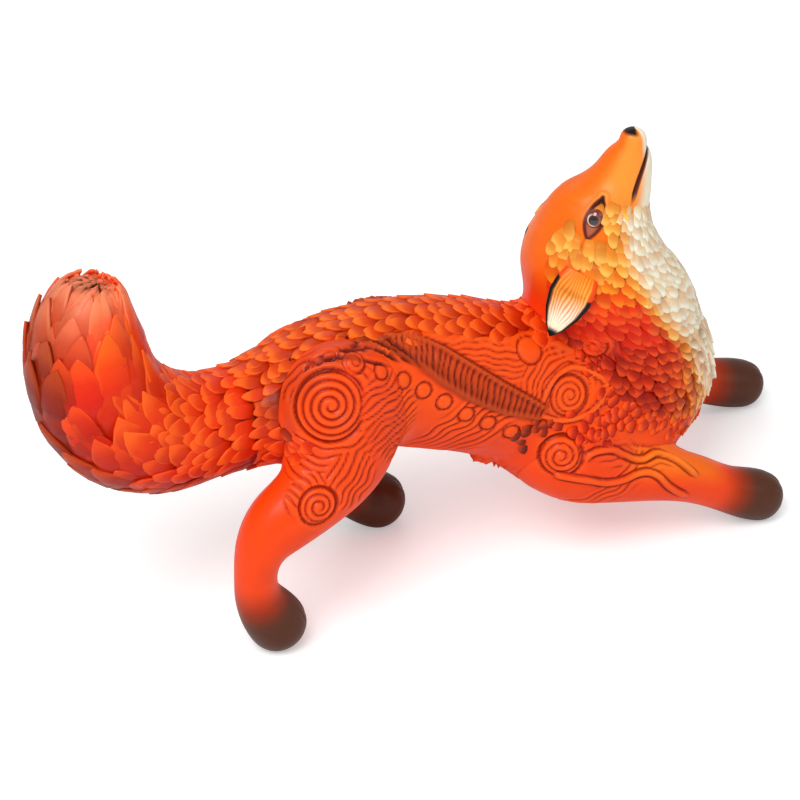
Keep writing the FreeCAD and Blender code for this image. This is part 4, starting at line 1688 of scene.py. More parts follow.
@dataclass(frozen=True)
class Carving:
    """The gouged ornament of one side, placed as a side view shows it: x and z in millimetres."""

    body: Body
    hand: int
    stamps: tuple = ((-31.3, 79.5), (-24.2, 74.2), (-18.4, 69.5), (-12.5, 64.6), (-5.9, 59.0), (0.8, 54.4),
                     (8.1, 49.5))
    stamp_radius: float = 2.5
    band: tuple = ((-29.2, 84.7), (-22.9, 84.1), (-16.7, 82.4), (-10.7, 79.2), (-7.4, 76.8), (-0.1, 71.0),
                   (7.7, 64.6), (14.8, 59.0), (19.4, 55.2))
    strands: tuple = (
        ((-53.0, 81.5), (-49.0, 84.8), (-43.0, 85.6), (-38.0, 84.6)),
        ((-49.0, 86.4), (-42.0, 85.6), (-34.5, 82.8), (-27.0, 78.6)),
        ((-44.0, 87.4), (-37.0, 86.2), (-30.0, 83.0), (-23.5, 78.0)),
        ((-39.0, 87.6), (-33.0, 86.2), (-26.5, 82.4), (-20.0, 76.4)),
        ((-34.0, 87.0), (-28.5, 85.2), (-23.0, 81.2), (-17.0, 74.4)),
    )

    def flank(self) -> list:
        """What is cut into the flank, background lines first.

        Returns:
            The cuts, in the order in which they are worked.
        """
        body, hand = self.body, self.hand
        return [
            Ripples(body, (-30.0, 67.0), hand, (10.0, 14.0), 2.0, 0.5, lean=14.0, sway=0.5, wave=13.0),
            Ripples(body, (-6.0, 52.0), hand, (20.0, 10.0), 2.6, 0.55, lean=40.0, sway=0.5, wave=12.0),
            Ripples(body, (4.0, 73.0), hand, (21.0, 7.5), 1.8, 0.4, lean=-14.0, sway=0.4, wave=20.0),
            Ripples(body, (24.0, 63.0), hand, (13.0, 9.0), 1.8, 0.45, centre=SHOULDER_COIL),
            Stroke(body, EYE_SHAPE, hand, 0.8, 0.6),
            *(Disc(body, stamp, hand, radius=self.stamp_radius, pitch=9.0, depth=0.6, dome=0.45,
                   wind=0, start=0.5) for stamp in self.stamps),
            Plume(body, self.band, hand, width=(5.0, 7.5, 9.0, 9.0, 7.5, 4.0), pitch=2.0, depth=0.95,
                  lean=0.25, bow=0.02),
            *(Stroke(body, strand, hand, 0.6, -0.8, stain=Paint.RUST) for strand in self.strands),
            Disc(body, (16.3, 71.1), hand, radius=4.2, pitch=12.0, depth=0.5, dome=0.5, wind=0, start=0.5),
            Disc(body, SHOULDER_COIL, hand, radius=6.0, pitch=1.9, depth=0.6, dome=0.6, start=0.2),
            Disc(body, SMALL_COIL, hand, radius=4.2, pitch=1.8, depth=0.8, dome=0.6, start=0.6),
            Disc(body, (-38.9, 84.0), hand, radius=3.4, pitch=1.6, depth=0.5, dome=0.5),
        ]

    def haunch(self) -> list:
        """What is cut into the thigh and shin.

        Returns:
            The cuts, in the order in which they are worked.
        """
        body, hand = self.body, self.hand
        return [
            Ripples(body, (-48.0, 82.0), hand, (13.0, 8.0), 2.0, 0.5, centre=(-47.9, 73.0)),
            Ripples(body, (-50.0, 62.0), hand, (14.0, 9.0), 2.2, 0.55, centre=(-47.0, 78.0)),
            Ripples(body, (-45.0, 54.0), hand, (9.0, 8.0), 2.2, 0.5, lean=52.0, sway=0.5),
            Ripples(body, (-58.0, 53.0), hand, (5.0, 7.0), 2.1, 0.5, lean=-58.0, sway=0.4),
            Disc(body, THIGH_COIL, hand, radius=10.0, pitch=2.25, depth=1.0, dome=0.9, start=0.1),
            Disc(body, (-54.9, 49.2), hand, radius=5.6, pitch=1.9, depth=0.8, dome=0.65, start=0.4),
        ]

    def arm(self) -> list:
        """What is cut into the elbow and forearm.

        Returns:
            The cuts, in the order in which they are worked.
        """
        body, hand = self.body, self.hand
        upper = ((27.9, 37.1), (29.6, 39.4), (32.9, 40.1), (37.5, 39.1), (41.0, 36.6), (44.4, 34.2),
                 (48.0, 33.0), (52.5, 33.1), (55.9, 31.6), (59.3, 29.3), (62.3, 26.5), (65.3, 23.4))
        lower = ((18.9, 34.6), (28.3, 32.2), (34.5, 30.0), (40.1, 29.4), (44.7, 29.9), (48.6, 29.4),
                 (51.7, 27.5), (54.2, 24.3), (57.8, 21.0), (62.1, 18.1))
        return [
            Ripples(body, (44.0, 35.0), hand, (15.0, 4.5), 2.1, 0.35, lean=-20.0, sway=0.8, wave=16.0),
            Ripples(body, (36.0, 26.0), hand, (15.0, 4.5), 2.3, 0.45, lean=32.0, sway=0.3),
            Disc(body, ELBOW_COIL, hand, radius=6.4, pitch=1.95, depth=0.9, dome=1.4, start=0.3),
            Stroke(body, upper, hand, 1.0, 1.0),
            Stroke(body, lower, hand, 1.0, 1.0),
        ]


@dataclass
class Trunk:
    """The trunk: carved flanks, a back of overlapping scales and rough fur on the shoulders."""

    body: Body
    pitch: float = 1.0
    fine_pitch: float = 0.45
    scale_rows: Rows = Rows(92.0, 2.5, pitch=3.5, grow=1.002, turns=(-90, 270), columns=30, jitter=0.12)
    lock_rows: Rows = Rows(158.0, 70.0, pitch=2.5, grow=1.0, turns=(-90, 270), columns=52, jitter=0.35)

    def build(self) -> list[Piece]:
        """The trunk's pieces.

        Returns:
            The new pieces.
        """
        skin = self._skin().build("trunk_skin", PAINTED)
        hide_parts("trunk")
        return [skin, self._back(), self._shoulders()]

    def _skin(self) -> Skin:
        """The carved and painted skin.

        Returns:
            The skin, not yet a piece.
        """
        form = self.body.forms["trunk"]
        places = spread(0.0, form.length, self.pitch, [(6.0, 100.0, self.fine_pitch)])
        turns = ring_turns(2.4, [(-52.0, 48.0, 1.1), (132.0, 180.0, 1.1), (-180.0, -128.0, 1.1)])
        skin = Skin(form, places, turns, Paint.ORANGE)
        x, _, z = np.moveaxis(skin.points, -1, 0)
        low = np.interp(x, (-60, -20, 20, 60), (52, 52, 42, 24))
        skin.paint(Paint.RED, 0.55 * step(10.0, -2.0, z - low))
        for hand in (-1, 1):
            side = Carving(self.body, hand)
            for cut in side.flank() + side.haunch() + side.arm():
                cut.carve(skin)
        covered = np.maximum(step(0.0, 1.5, z - scale_edge(skin.points)), step(4.0, 2.0, places)[:, None])
        skin.height = skin.height * (1 - covered) - 0.9 * covered
        skin.paint(Paint.UMBER, 0.6 * wash(skin.points))
        return skin

    def _back(self) -> Piece:
        """The scales over the back and down the rump.

        Returns:
            The new piece.
        """
        form = self.body.forms["trunk"]
        rng = np.random.default_rng(11)
        roots = self.scale_rows.roots(rng)
        points = form.skin(roots.place, roots.turn)
        keep = points[:, 2] > scale_edge(points)
        roots, points = roots.where(keep), points[keep]
        return BACK_COAT.lay(form, roots, back_tint(points), rng).build("back_scales")

    def _shoulders(self) -> Piece:
        """The rough little locks round the shoulders and the breast.

        Returns:
            The new piece.
        """
        form = self.body.forms["trunk"]
        rng = np.random.default_rng(12)
        roots = self.lock_rows.roots(rng)
        points = form.skin(roots.place, roots.turn)
        keep = rough(points) & (np.abs(points[:, 1] + SIZES.spine_offset) > 9.0)
        roots, points = roots.where(keep), points[keep]
        return SHOULDER_COAT.lay(form, roots, rough_tint(points), rng).build("shoulder_locks")


@dataclass
class Tail:
    """The tail: scales at its root that grow to long petals and tufts at its tip."""

    body: Body
    pitch: float = 1.3
    bands: tuple = (
        ("tail_scales", ROOT_COAT, 8.0, Rows(0.5, 31.0, 3.8, 1.03, ALL_ROUND, columns=25, jitter=0.14)),
        ("tail_feathers", FEATHER_COAT, 8.0, Rows(28.0, 60.0, 5.2, 1.05, ALL_ROUND, columns=15, jitter=0.14)),
        ("tail_petals", PETAL_COAT, 6.0, Rows(50.0, 72.0, 5.5, 0.97, ALL_ROUND, columns=15, jitter=0.2)),
    )

    def build(self) -> list[Piece]:
        """The tail's pieces.

        Returns:
            The new pieces.
        """
        form = self.body.forms["tail"]
        places = spread(0.0, form.length, self.pitch, [])
        skin = Skin(form, places, ring_turns(3.6, []), Paint.RUST)
        skin.height -= np.interp(places, (0.0, 50.0, form.length), (0.9, 0.7, 1.2))[:, None]
        piece = skin.build("tail_skin", PAINTED)
        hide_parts("tail")
        pieces = [piece]
        rng = np.random.default_rng(21)
        for name, coat, gap, rows in self.bands:
            roots = rows.roots(rng)
            leaves = coat.lay(form, roots, self._tint(roots), rng)
            leaves.length = np.minimum(leaves.length, self._room(roots, gap))
            pieces.append(leaves.build(name))
        return pieces + [self._tufts().build("tail_tufts")]

    def _room(self, roots: Roots, gap: float) -> Array:
        """How long a leaf on each root may be, to end a gap before the tail's end.

        Args:
            roots: where the leaves stand.
            gap: the gap along the form.

        Returns:
            A length for each root.
        """
        form = self.body.forms["tail"]
        _, lengthwise, _, _ = form.patch(roots.place, roots.turn)
        return (form.length - gap - roots.place) * np.linalg.norm(lengthwise, axis=-1)

    def _tufts(self) -> Plumage:
        """The petals that close the tip, in three rings: place, leaves, gap to the end, width and lift.

        Returns:
            The petals, not yet a piece.
        """
        form = self.body.forms["tail"]
        rng = np.random.default_rng(22)
        rings = np.array(((66.0, 12, 4.0, 9.5, 0.9), (71.0, 9, 2.0, 9.5, 0.6), (77.0, 6, 0.4, 9.0, 0.2)))
        place, _, gap, width, lift = np.repeat(rings, rings[:, 1].astype(int), axis=0).T
        turn = np.concatenate([np.arange(count) / count * 2 * math.pi + start for start, count, *_ in rings])
        roots = Roots(place, turn, gap, 1.0)
        lean = np.radians(rng.normal(0.0, 6.0, len(place))) * (place < 70.0)
        tone = rng.uniform(0.9, 1.1, len(place))
        return Plumage(form, TUFT, place, turn, self._room(roots, gap), width, lean, lift, tone,
                       self._tint(roots), bed=0.6, shadow=0.6, edge=0.5, tips=Paint.PAW)

    def _tint(self, roots: Roots) -> Array:
        """The feathers' colour: red on the underside, orange on top, a painted rosy sheen near the tip.

        Args:
            roots: where the leaves stand.

        Returns:
            A colour for each root.
        """
        paints = [Paint.ORANGE, Paint.ORANGE, Paint.RED, Paint.RUST]
        colour = shades(paints, (-0.8, 0.0, 0.3, 1.0), np.sin(roots.turn))
        # The rose near the tip is a painted sheen.
        return mix(colour, Paint.ROSE.rgb(), 0.5 * step(52.0, 68.0, roots.place))


@dataclass
class Leg:
    """One leg with its paw: carved thigh or forearm, smooth shin, dark toes."""

    body: Body
    plan: LegPlan
    pitch: float = 0.9
    fine_pitch: float = 0.45
    toe_pitch: float = 3.6
    scale_rows: Rows = Rows(0.5, 44.0, pitch=3.5, grow=1.0, turns=ALL_ROUND, columns=22, jitter=0.12)
    lock_rows: Rows = Rows(1.0, 60.0, pitch=2.5, grow=1.0, turns=ALL_ROUND, columns=34, jitter=0.35)

    def build(self) -> list[Piece]:
        """The leg's pieces.

        Returns:
            The new pieces.
        """
        plan = self.plan
        hind = "hind" in plan.name
        form = self.body.forms[plan.name]
        places = spread(0.0, form.length, self.pitch, [(10.0, form.length, self.fine_pitch)])
        fine = [(-80.0, 80.0, 1.9)] if plan.hand < 0 else [(100.0, 180.0, 1.9), (-180.0, -100.0, 1.9)]
        skin = Skin(form, places, ring_turns(3.0, fine), Paint.ORANGE)
        cuts = Carving(self.body, plan.hand)
        for cut in (cuts.haunch() if hind else cuts.arm()) + cuts.flank():
            cut.carve(skin)
        self._paint(skin)
        self._toes(skin)
        skin.height -= 1.3 * step(0.8, -0.2, self.body.forms["trunk"].gap(skin.points))
        if hind:
            skin.paint(Paint.UMBER, 0.3 * wash(skin.points))
        piece = skin.build(plan.name + "_skin", SMOOTH)
        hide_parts(plan.name)
        if plan.name == "left_hind_leg":
            return [piece]
        return [piece, self._rump() if hind else self._locks()]

    def _rump(self) -> Piece:
        """The scales that run from the rump over the thigh's rear, as far as its coil.

        Returns:
            The new piece.
        """
        form = self.body.forms[self.plan.name]
        rng = np.random.default_rng(42)
        roots = self.scale_rows.roots(rng)
        points = form.skin(roots.place, roots.turn)
        x, z = points[:, 0], points[:, 2]
        keep = (np.hypot(x - THIGH_COIL[0], z - THIGH_COIL[1]) > 10.8) & (x < -52.5) & (z > 63.0)
        keep &= self.body.forms["trunk"].gap(points) > -0.6
        roots, points = roots.where(keep), points[keep]
        leaves = RUMP_COAT.lay(form, roots, back_tint(points), rng)
        leaves.lean = leaves.lean - math.radians(50.0)
        return leaves.build(self.plan.name + "_scales")

    def _locks(self) -> Piece:
        """The little locks that run down from the shoulder to the top of the elbow.

        Returns:
            The new piece.
        """
        form = self.body.forms[self.plan.name]
        rng = np.random.default_rng(41)
        roots = self.lock_rows.roots(rng)
        points = form.skin(roots.place, roots.turn)
        keep = rough(points) & (self.body.forms["trunk"].gap(points) > -0.5)
        roots, points = roots.where(keep), points[keep]
        return ELBOW_COAT.lay(form, roots, rough_tint(points), rng).build(self.plan.name + "_locks")

    def _paint(self, skin: Skin) -> None:
        """A painted amber highlight down a foreleg's upper shin, then rust into dark brown over the paw.

        Args:
            skin: the skin to work on.
        """
        length = skin.form.length
        foot = length - skin.places[:, None] - self.plan.foot
        even = np.ones_like(skin.height)
        skin.paint(Paint.RED, 0.45 * even)
        if "fore" in self.plan.name:
            # Painted highlight: amber on the forearm where its surface faces up.
            top = step(0.0, 0.8, skin.normals[..., 2])
            skin.paint(Paint.AMBER, 0.5 * step(55.0, 45.0, foot) * step(12.0, 24.0, foot) * top)
        skin.paint(Paint.RUST, step(17.0, 7.0, foot) * even)
        skin.paint(Paint.PAW, step(10.0, 2.0, foot) * even)

    def _toes(self, skin: Skin) -> None:
        """Grooves between the toes, upright in the paw's front, fading towards the ankle.

        Args:
            skin: the skin to work on.
        """
        plan = self.plan
        joint = SIZES.trunk_point(plan.joint, 0)
        side = joint[1] + plan.hand * (plan.spread * SIZES.trunk_width / 2 + plan.splay)
        x, y, z = np.moveaxis(skin.points, -1, 0)
        half = plan.foot / 2
        ahead = step(0.1 * half, 0.6 * half, x - joint[0] - plan.stride)
        low = step(2.0 * half, 1.2 * half, z)
        phase = (y - side) / self.toe_pitch + 0.5
        cut = groove(phase, 0.14) * ahead * low * (np.abs(y - side) < 1.4 * self.toe_pitch)
        skin.height = skin.height - 0.7 * cut


@dataclass(frozen=True)
class Spot:
    """A place on the head's skin with its ways out, to the nose and to the crown."""

    point: Array
    out: Array
    nose: Array
    crown: Array


def on_head(ring_share: float, degrees: float, hand: int) -> Spot:
    """A spot between two rings of the head, turned up from its side, as in the CAD model.

    Args:
        ring_share: the near ring's number, and the share of the way to the next.
        degrees: the turn.
        hand: -1 for the right side, 1 for the left.

    Returns:
        The spot.
    """
    rings = head_rings(SIZES)
    number = int(ring_share)
    share = ring_share - number
    near, far = rings[number], rings[number + 1]
    middle = near.centre + (far.centre - near.centre) * share
    wide = near.wide + (far.wide - near.wide) * share
    deep = near.deep + (far.deep - near.deep) * share
    side = unit(near.side - near.along * dot(near.side, near.along))
    crown = np.cross(side, near.along)
    turn = math.radians(degrees)
    point = middle - side * (hand * wide * math.cos(turn)) + crown * (deep * math.sin(turn))
    out = unit(crown * (wide * math.sin(turn)) - side * (hand * deep * math.cos(turn)))
    nose = unit(near.along - out * dot(near.along, out))
    return Spot(point, out, nose, unit(crown - out * dot(crown, out)))


@dataclass
class Head:
    """The head and neck: smooth forehead and muzzle, scaled cheeks, a ruff of long pale feathers."""

    body: Body
    pitch: float = 0.9
    lid_length: float = 5.6
    lid_height: float = 2.5
    bands: tuple = (
        ("cheek_scales", CHEEK_COAT, Rows(106.0, 92.0, 2.6, 1.03, BELOW_CROWN, columns=28, jitter=0.16)),
        ("jaw_scales", JAW_COAT, Rows(92.0, 76.0, 3.0, 1.03, BELOW_CROWN, columns=34, jitter=0.16)),
        ("neck_scales", NECK_COAT, Rows(76.0, 55.0, 3.2, 1.03, BELOW_CROWN, columns=38, jitter=0.16)),
    )
    mane_rows: Rows = Rows(60.0, 30.0, pitch=2.9, grow=1.0, turns=ALL_ROUND, columns=46, jitter=0.33)
    ruff_rows: Rows = Rows(62.0, 26.0, pitch=4.2, grow=1.02, turns=(-146, -34), columns=17, jitter=0.2)

    def build(self) -> list[Piece]:
        """The head's pieces.

        Returns:
            The new pieces.
        """
        form = self.body.forms["head"]
        places = spread(0.0, form.length, self.pitch, [(57.0, 76.0, 0.45), (84.0, form.length, 0.4)])
        skin = Skin(form, places, ring_turns(1.4, [(-50.0, 10.0, 0.9)]), Paint.ORANGE)
        self._paint(skin)
        for hand in (-1, 1):
            self._eye_lids(skin, hand)
            for cut in Carving(self.body, hand).flank():
                cut.carve(skin)
        self._mouth(skin)
        place = skin.places[:, None]
        front = -np.sin(skin.turns)[None, :]
        brow = self._brow(place)
        cheek = step(108.0, 98.0, place) * step(brow - 0.25, brow + 0.05, front)
        furred = np.maximum(cheek, step(58.0, 54.0, place))
        coil = np.hypot(skin.points[..., 0] - SMALL_COIL[0], skin.points[..., 2] - SMALL_COIL[1])
        furred = furred * step(4.2, 5.0, coil)
        skin.height = skin.height * (1 - furred) - 0.9 * furred
        piece = skin.build("head_skin", SMOOTH)
        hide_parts("head")
        return [piece] + self._fur()

    @staticmethod
    def _brow(place: Array) -> Array:
        """How far forward the cheek's scales begin, from -1 at the crown to 1 at the throat."""
        return np.interp(place, (92.0, 99.0, 106.0), (-0.84, -0.76, -0.4))

    def _paint(self, skin: Skin) -> None:
        """Red-orange crown, amber muzzle sides, cream throat and chin, black nose.

        Args:
            skin: the skin to work on.
        """
        place = skin.places[:, None]
        down = -np.sin(skin.turns)[None, :]
        skin.paint(Paint.AMBER, np.full_like(skin.height, 0.45))
        skin.paint(Paint.GOLD, 0.5 * step(90.0, 110.0, place) * step(-0.95, -0.45, down))
        skin.paint(Paint.CREAM, step(0.35, 0.75, down) * step(50.0, 78.0, place))
        skin.paint(Paint.BLACK, step(124.6, 125.8, place) * step(0.5, -0.1, down))
        skin.paint(Paint.RED, step(84.0, 62.0, place) * step(0.6, 0.2, down))

    def _eye_lids(self, skin: Skin, hand: int) -> None:
        """An almond hollow for the eye with a raised dark rim.

        The almond is where |b| < height * (1 - (a / length)^2), with a to the nose and b to the crown.

        Args:
            skin: the skin to work on.
            hand: -1 for the right side, 1 for the left.
        """
        spot = on_head(EYE_RING, EYE_TURN, hand)
        offset = skin.points - spot.point
        a = dot(offset, spot.nose)
        b = dot(offset, spot.crown)
        near = (np.abs(dot(offset, spot.out)) < 6.0) & (np.abs(a) < 12) & (np.abs(b) < 10)
        edge = self.lid_height * np.clip(1 - (a / self.lid_length) ** 2, 0.02, 1)
        beyond = np.abs(a) - self.lid_length
        past = np.where(beyond > 0, np.hypot(b, beyond), np.abs(b) - edge)
        past = np.where(near, past, FAR)
        skin.carve(0.6 * bell((past - 0.9) / 0.7), step(2.2, 1.2, past))
        skin.carve(np.full(past.shape, -0.9), step(0.3, -0.4, past))
        skin.paint(Paint.UMBER, step(0.9, 0.4, past))
        skin.paint(Paint.ROSE, 0.35 * step(-0.3, -0.9, past) * step(0.5, -1.5, a))

    def _mouth(self, skin: Skin) -> None:
        """The lips' dark line on both sides of the muzzle.

        Args:
            skin: the skin to work on.
        """
        way = ((54.6, 124.0), (52.6, 121.0), (50.3, 116.5), (47.4, 110.6), (46.3, 109.2))
        for hand in (-1, 1):
            Stroke(self.body, way, hand, width=0.75, rise=-0.9, stain=Paint.UMBER).carve(skin)

    def _fur(self) -> list[Piece]:
        """The scales of the cheeks and neck and the feathers of the ruff.

        Returns:
            The new pieces.
        """
        form = self.body.forms["head"]
        rng = np.random.default_rng(31)
        pieces = []
        eyes = [on_head(EYE_RING, EYE_TURN, hand).point for hand in (-1, 1)]
        for name, coat, rows in self.bands:
            roots = rows.roots(rng)
            points = form.skin(roots.place, roots.turn)
            near = np.min([np.linalg.norm(points - eye, axis=-1) for eye in eyes], axis=0)
            below = -np.sin(roots.turn) > self._brow(roots.place)
            roots = roots.where((near > 5.2) & below & self._furry(points))
            pieces.append(coat.lay(form, roots, self._tint(roots), rng).build(name))
        roots = self.mane_rows.roots(rng)
        front = -np.sin(roots.turn)
        points = form.skin(roots.place, roots.turn)
        roots = roots.where((front < 0.8) & (front > -0.9) & self._furry(points))
        pieces.append(MANE_COAT.lay(form, roots, self._tint(roots), rng).build("neck_locks"))
        roots = self.ruff_rows.roots(rng)
        pieces.append(RUFF_COAT.lay(form, roots, self._tint(roots), rng).build("ruff_feathers"))
        return pieces

    @staticmethod
    def _furry(points: Array) -> Array:
        """Where fur may grow: nowhere that its tips would lie over the small spiral below the ear."""
        return np.hypot((points[:, 0] - 35.0) / 5.0, (points[:, 2] - 72.0) / 7.0) > 1

    def _tint(self, roots: Roots) -> Array:
        """The fur's colour: gold to cream on the cheeks, cream on the throat, orange-red on the neck.

        Args:
            roots: where the leaves stand.

        Returns:
            A colour for each root.
        """
        front = -np.sin(roots.turn)
        paints = [Paint.RED, Paint.RED, Paint.ORANGE, Paint.AMBER, Paint.GOLD]
        warm = shades(paints, (40.0, 70.0, 77.0, 83.0, 90.0), roots.place)
        warm = mix(warm, Paint.RUST.rgb(), 0.35 * step(70.0, 50.0, roots.place) * step(0.5, -0.2, front))
        pale = step(0.0, 0.65, front + 0.008 * (roots.place - 78)) * step(26.0, 46.0, roots.place)
        edge = bell((front - 0.45) / 0.3) * step(66.0, 40.0, roots.place) * 0.6
        golden = mix(warm, Paint.GOLD.rgb(), step(0.0, 0.45, pale))
        return mix(mix(golden, Paint.CREAM.rgb(), step(0.3, 0.9, pale)), Paint.AMBER.rgb(), edge)


def side_name(hand: int) -> str:
    """The name of the fox's side on that hand."""
    return "right" if hand < 0 else "left"


@dataclass
class Ear:
    """A cupped ear with a black rim, pale inside with lines of fur, orange behind."""

    hand: int
    turn: float
    lift: float
    length: float = 17.0
    width: float = 12.4
    thick: float = 5.2
    ring: float = 5.25
    place: float = 32.0
    lines: float = 13.0
    stations: tuple = ((-0.12, 0.78), (0.06, 0.95), (0.32, 1.0), (0.60, 0.80), (0.84, 0.46), (0.97, 0.18),
                       (1.02, 0.02))

    def build(self) -> list[Piece]:
        """The ear's piece.

        Returns:
            The new piece, in a list.
        """
        rows, columns = ((60, 144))
        u = np.linspace(self.stations[0][0], self.stations[-1][0], rows)[:, None]
        t = (np.arange(columns) / columns * 2 * math.pi)[None, :]
        v = np.cos(t)
        strands = np.sin(self.lines * math.pi * v * (1 - 0.25 * u) + 2.2 * np.sin(7.0 * u + 5.0 * v))
        grid = self._shell(u, t, strands)
        colour = self._paint(u, t, strands)
        outward = grid[0, 0] - grid[0].mean(axis=0)
        flip = np.cross(grid[1, 0] - grid[0, 0], grid[0, 1] - grid[0, 0]) @ outward < 0
        ends = np.stack([colour[0, 0], colour[-1, -1]])
        name = side_name(self.hand) + "_ear"
        piece = add_tube(name + "_shell", grid, colour, ends, SMOOTH, flip)
        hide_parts(name)
        return [piece]

    def _shell(self, u: Array, t: Array, strands: Array) -> Array:
        """The ear's points.

        Across the ear the back is half an ellipse, and the front dips from its rims as a power of
        1 - v^2 with the fur's lines over it.

        Args:
            u: shares of the length, from root to tip.
            t: turns round the ear, whose cosine is v.
            strands: the height of the fur's lines, from -1 to 1.

        Returns:
            The points by share and turn.
        """
        spot = on_head(self.ring, self.place, self.hand)
        turn, lift = math.radians(self.turn), math.radians(self.lift)
        lying = spot.crown * math.sin(turn) - spot.nose * math.cos(turn)
        along = lying * math.cos(lift) + spot.out * math.sin(lift)
        facing = spot.out * math.cos(lift) - lying * math.sin(lift)
        across = np.cross(along, facing)
        table = np.array(self.stations)
        wide = np.interp(u, table[:, 0], table[:, 1]) * self.width / 2
        deep = self.thick / 2 * np.interp(u, table[:, 0], table[:, 1] * 0.2 + 0.8 * np.sqrt(table[:, 1]))
        v = np.cos(t)
        front = np.sin(t) > 0
        dip = 0.35 + 0.9 * step(0.1, 0.5, u)
        cup = deep * (0.55 - dip * np.clip(1 - (v / 0.86) ** 2, 0, 1) ** 0.8)
        furrow = 0.16 * strands * step(0.85, 0.6, np.abs(v))
        rise = np.maximum(cup, -0.4 * deep) + furrow
        rim = 0.55 * deep * np.sqrt(np.clip(np.abs(np.sin(t)), 0, 1))
        solid = step(0.3, 0.14, u)
        shell = np.minimum(rise, rim) * (1 - solid) + 1.4 * rim * solid
        height = np.where(front, shell, deep * np.sin(t))
        return (spot.point + along * (u * self.length)[..., None] + across * (wide * v)[..., None]
                + facing * height[..., None])

    def _paint(self, u: Array, t: Array, strands: Array) -> Array:
        """The ear's colours: orange behind, a black rim, a pale lining with darker lines.

        Args:
            u: the share of the length, for each row.
            t: the angle round, for each column.
            strands: how the lining's lines swing, from -1 to 1.

        Returns:
            A colour for each point.
        """
        v = np.cos(t)
        reach = np.maximum(-self.hand * v * step(-0.1, 0.15, u), np.abs(v) * step(0.1, 0.3, u))
        reach = np.maximum(reach, step(0.8, 0.95, u))
        rimmed = step(-0.55, -0.25, np.sin(t)) * step(0.55, 0.75, reach)
        colour = mix(Paint.ORANGE.rgb(), Paint.BLACK.rgb(), rimmed)
        lining = shades([Paint.AMBER, Paint.GOLD, Paint.CREAM], (-0.05, 0.3, 0.65), u + 0.12 * self.hand * v)
        line = np.clip(0.1 - 0.9 * strands, 0, 1) * step(0.95, 0.5, u)
        inside = step(0.86, 0.72, np.abs(v)) * (np.sin(t) > 0) * step(0.95, 0.85, u)
        return mix(colour, mix(lining, Paint.ORANGE.rgb() * 0.75, 0.8 * line), inside)


@dataclass
class Eye:
    """A glass eye: an ellipsoid with a black pupil in a dark iris and a pale ring round it."""

    hand: int
    width: float = 5.8
    height: float = 4.6
    depth: float = 3.6
    sunk: float = 0.25

    def build(self) -> list[Piece]:
        """The eye's piece.

        Returns:
            The new piece, in a list.
        """
        spot = on_head(EYE_RING, EYE_TURN, self.hand)
        centre = spot.point - spot.out * (self.sunk * self.depth)
        rows, columns = 40, 64
        a = np.linspace(0.02, math.pi - 0.02, rows)[:, None]
        t = (np.arange(columns) / columns * 2 * math.pi)[None, :]
        ahead = self.width / 2 * np.sin(a) * np.cos(t)
        upward = self.height / 2 * np.sin(a) * np.sin(t)
        ball = (centre + spot.nose * ahead[..., None] + np.cross(spot.out, spot.nose) * upward[..., None]
                + spot.out * (self.depth / 2 * np.cos(a) + 0 * t)[..., None])
        radius = np.hypot(ahead, upward)
        colour = mix(Paint.BLACK.rgb(), Paint.RUST.rgb() * 0.6, step(1.15, 1.35, radius))
        upper = 0.1 + 0.9 * step(-0.4, 0.7, np.sin(t - 0.6))
        pale = step(1.45, 1.6, radius) * step(2.0, 1.8, radius) * upper * 0.8
        colour = mix(colour, Paint.CREAM.rgb(), pale)
        ends = np.stack([colour[0, 0], colour[-1, -1]])
        name = side_name(self.hand) + "_eye"
        piece = add_tube(name + "_ball", ball, colour, ends, EYE_GLASS)
        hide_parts(name)
        return [piece]


@dataclass
class Rods:
    """The steel dowels and pins inside the castings, which stay the CAD model's own."""

    names: tuple = ("neck_dowel", "tail_dowel", "right_hind_dowel", "left_hind_dowel", "right_fore_dowel",
                    "left_fore_dowel", "right_ear_pin", "left_ear_pin")

    def build(self) -> list[Piece]:
        """Gives the rods their finish.

        Returns:
            The rods that are there.
        """
        rods = [bpy.data.objects[name] for name in self.names if name in bpy.data.objects]
        for rod in rods:
            rod.data.materials.clear()
            rod.data.materials.append(STEEL.material())
        return rods


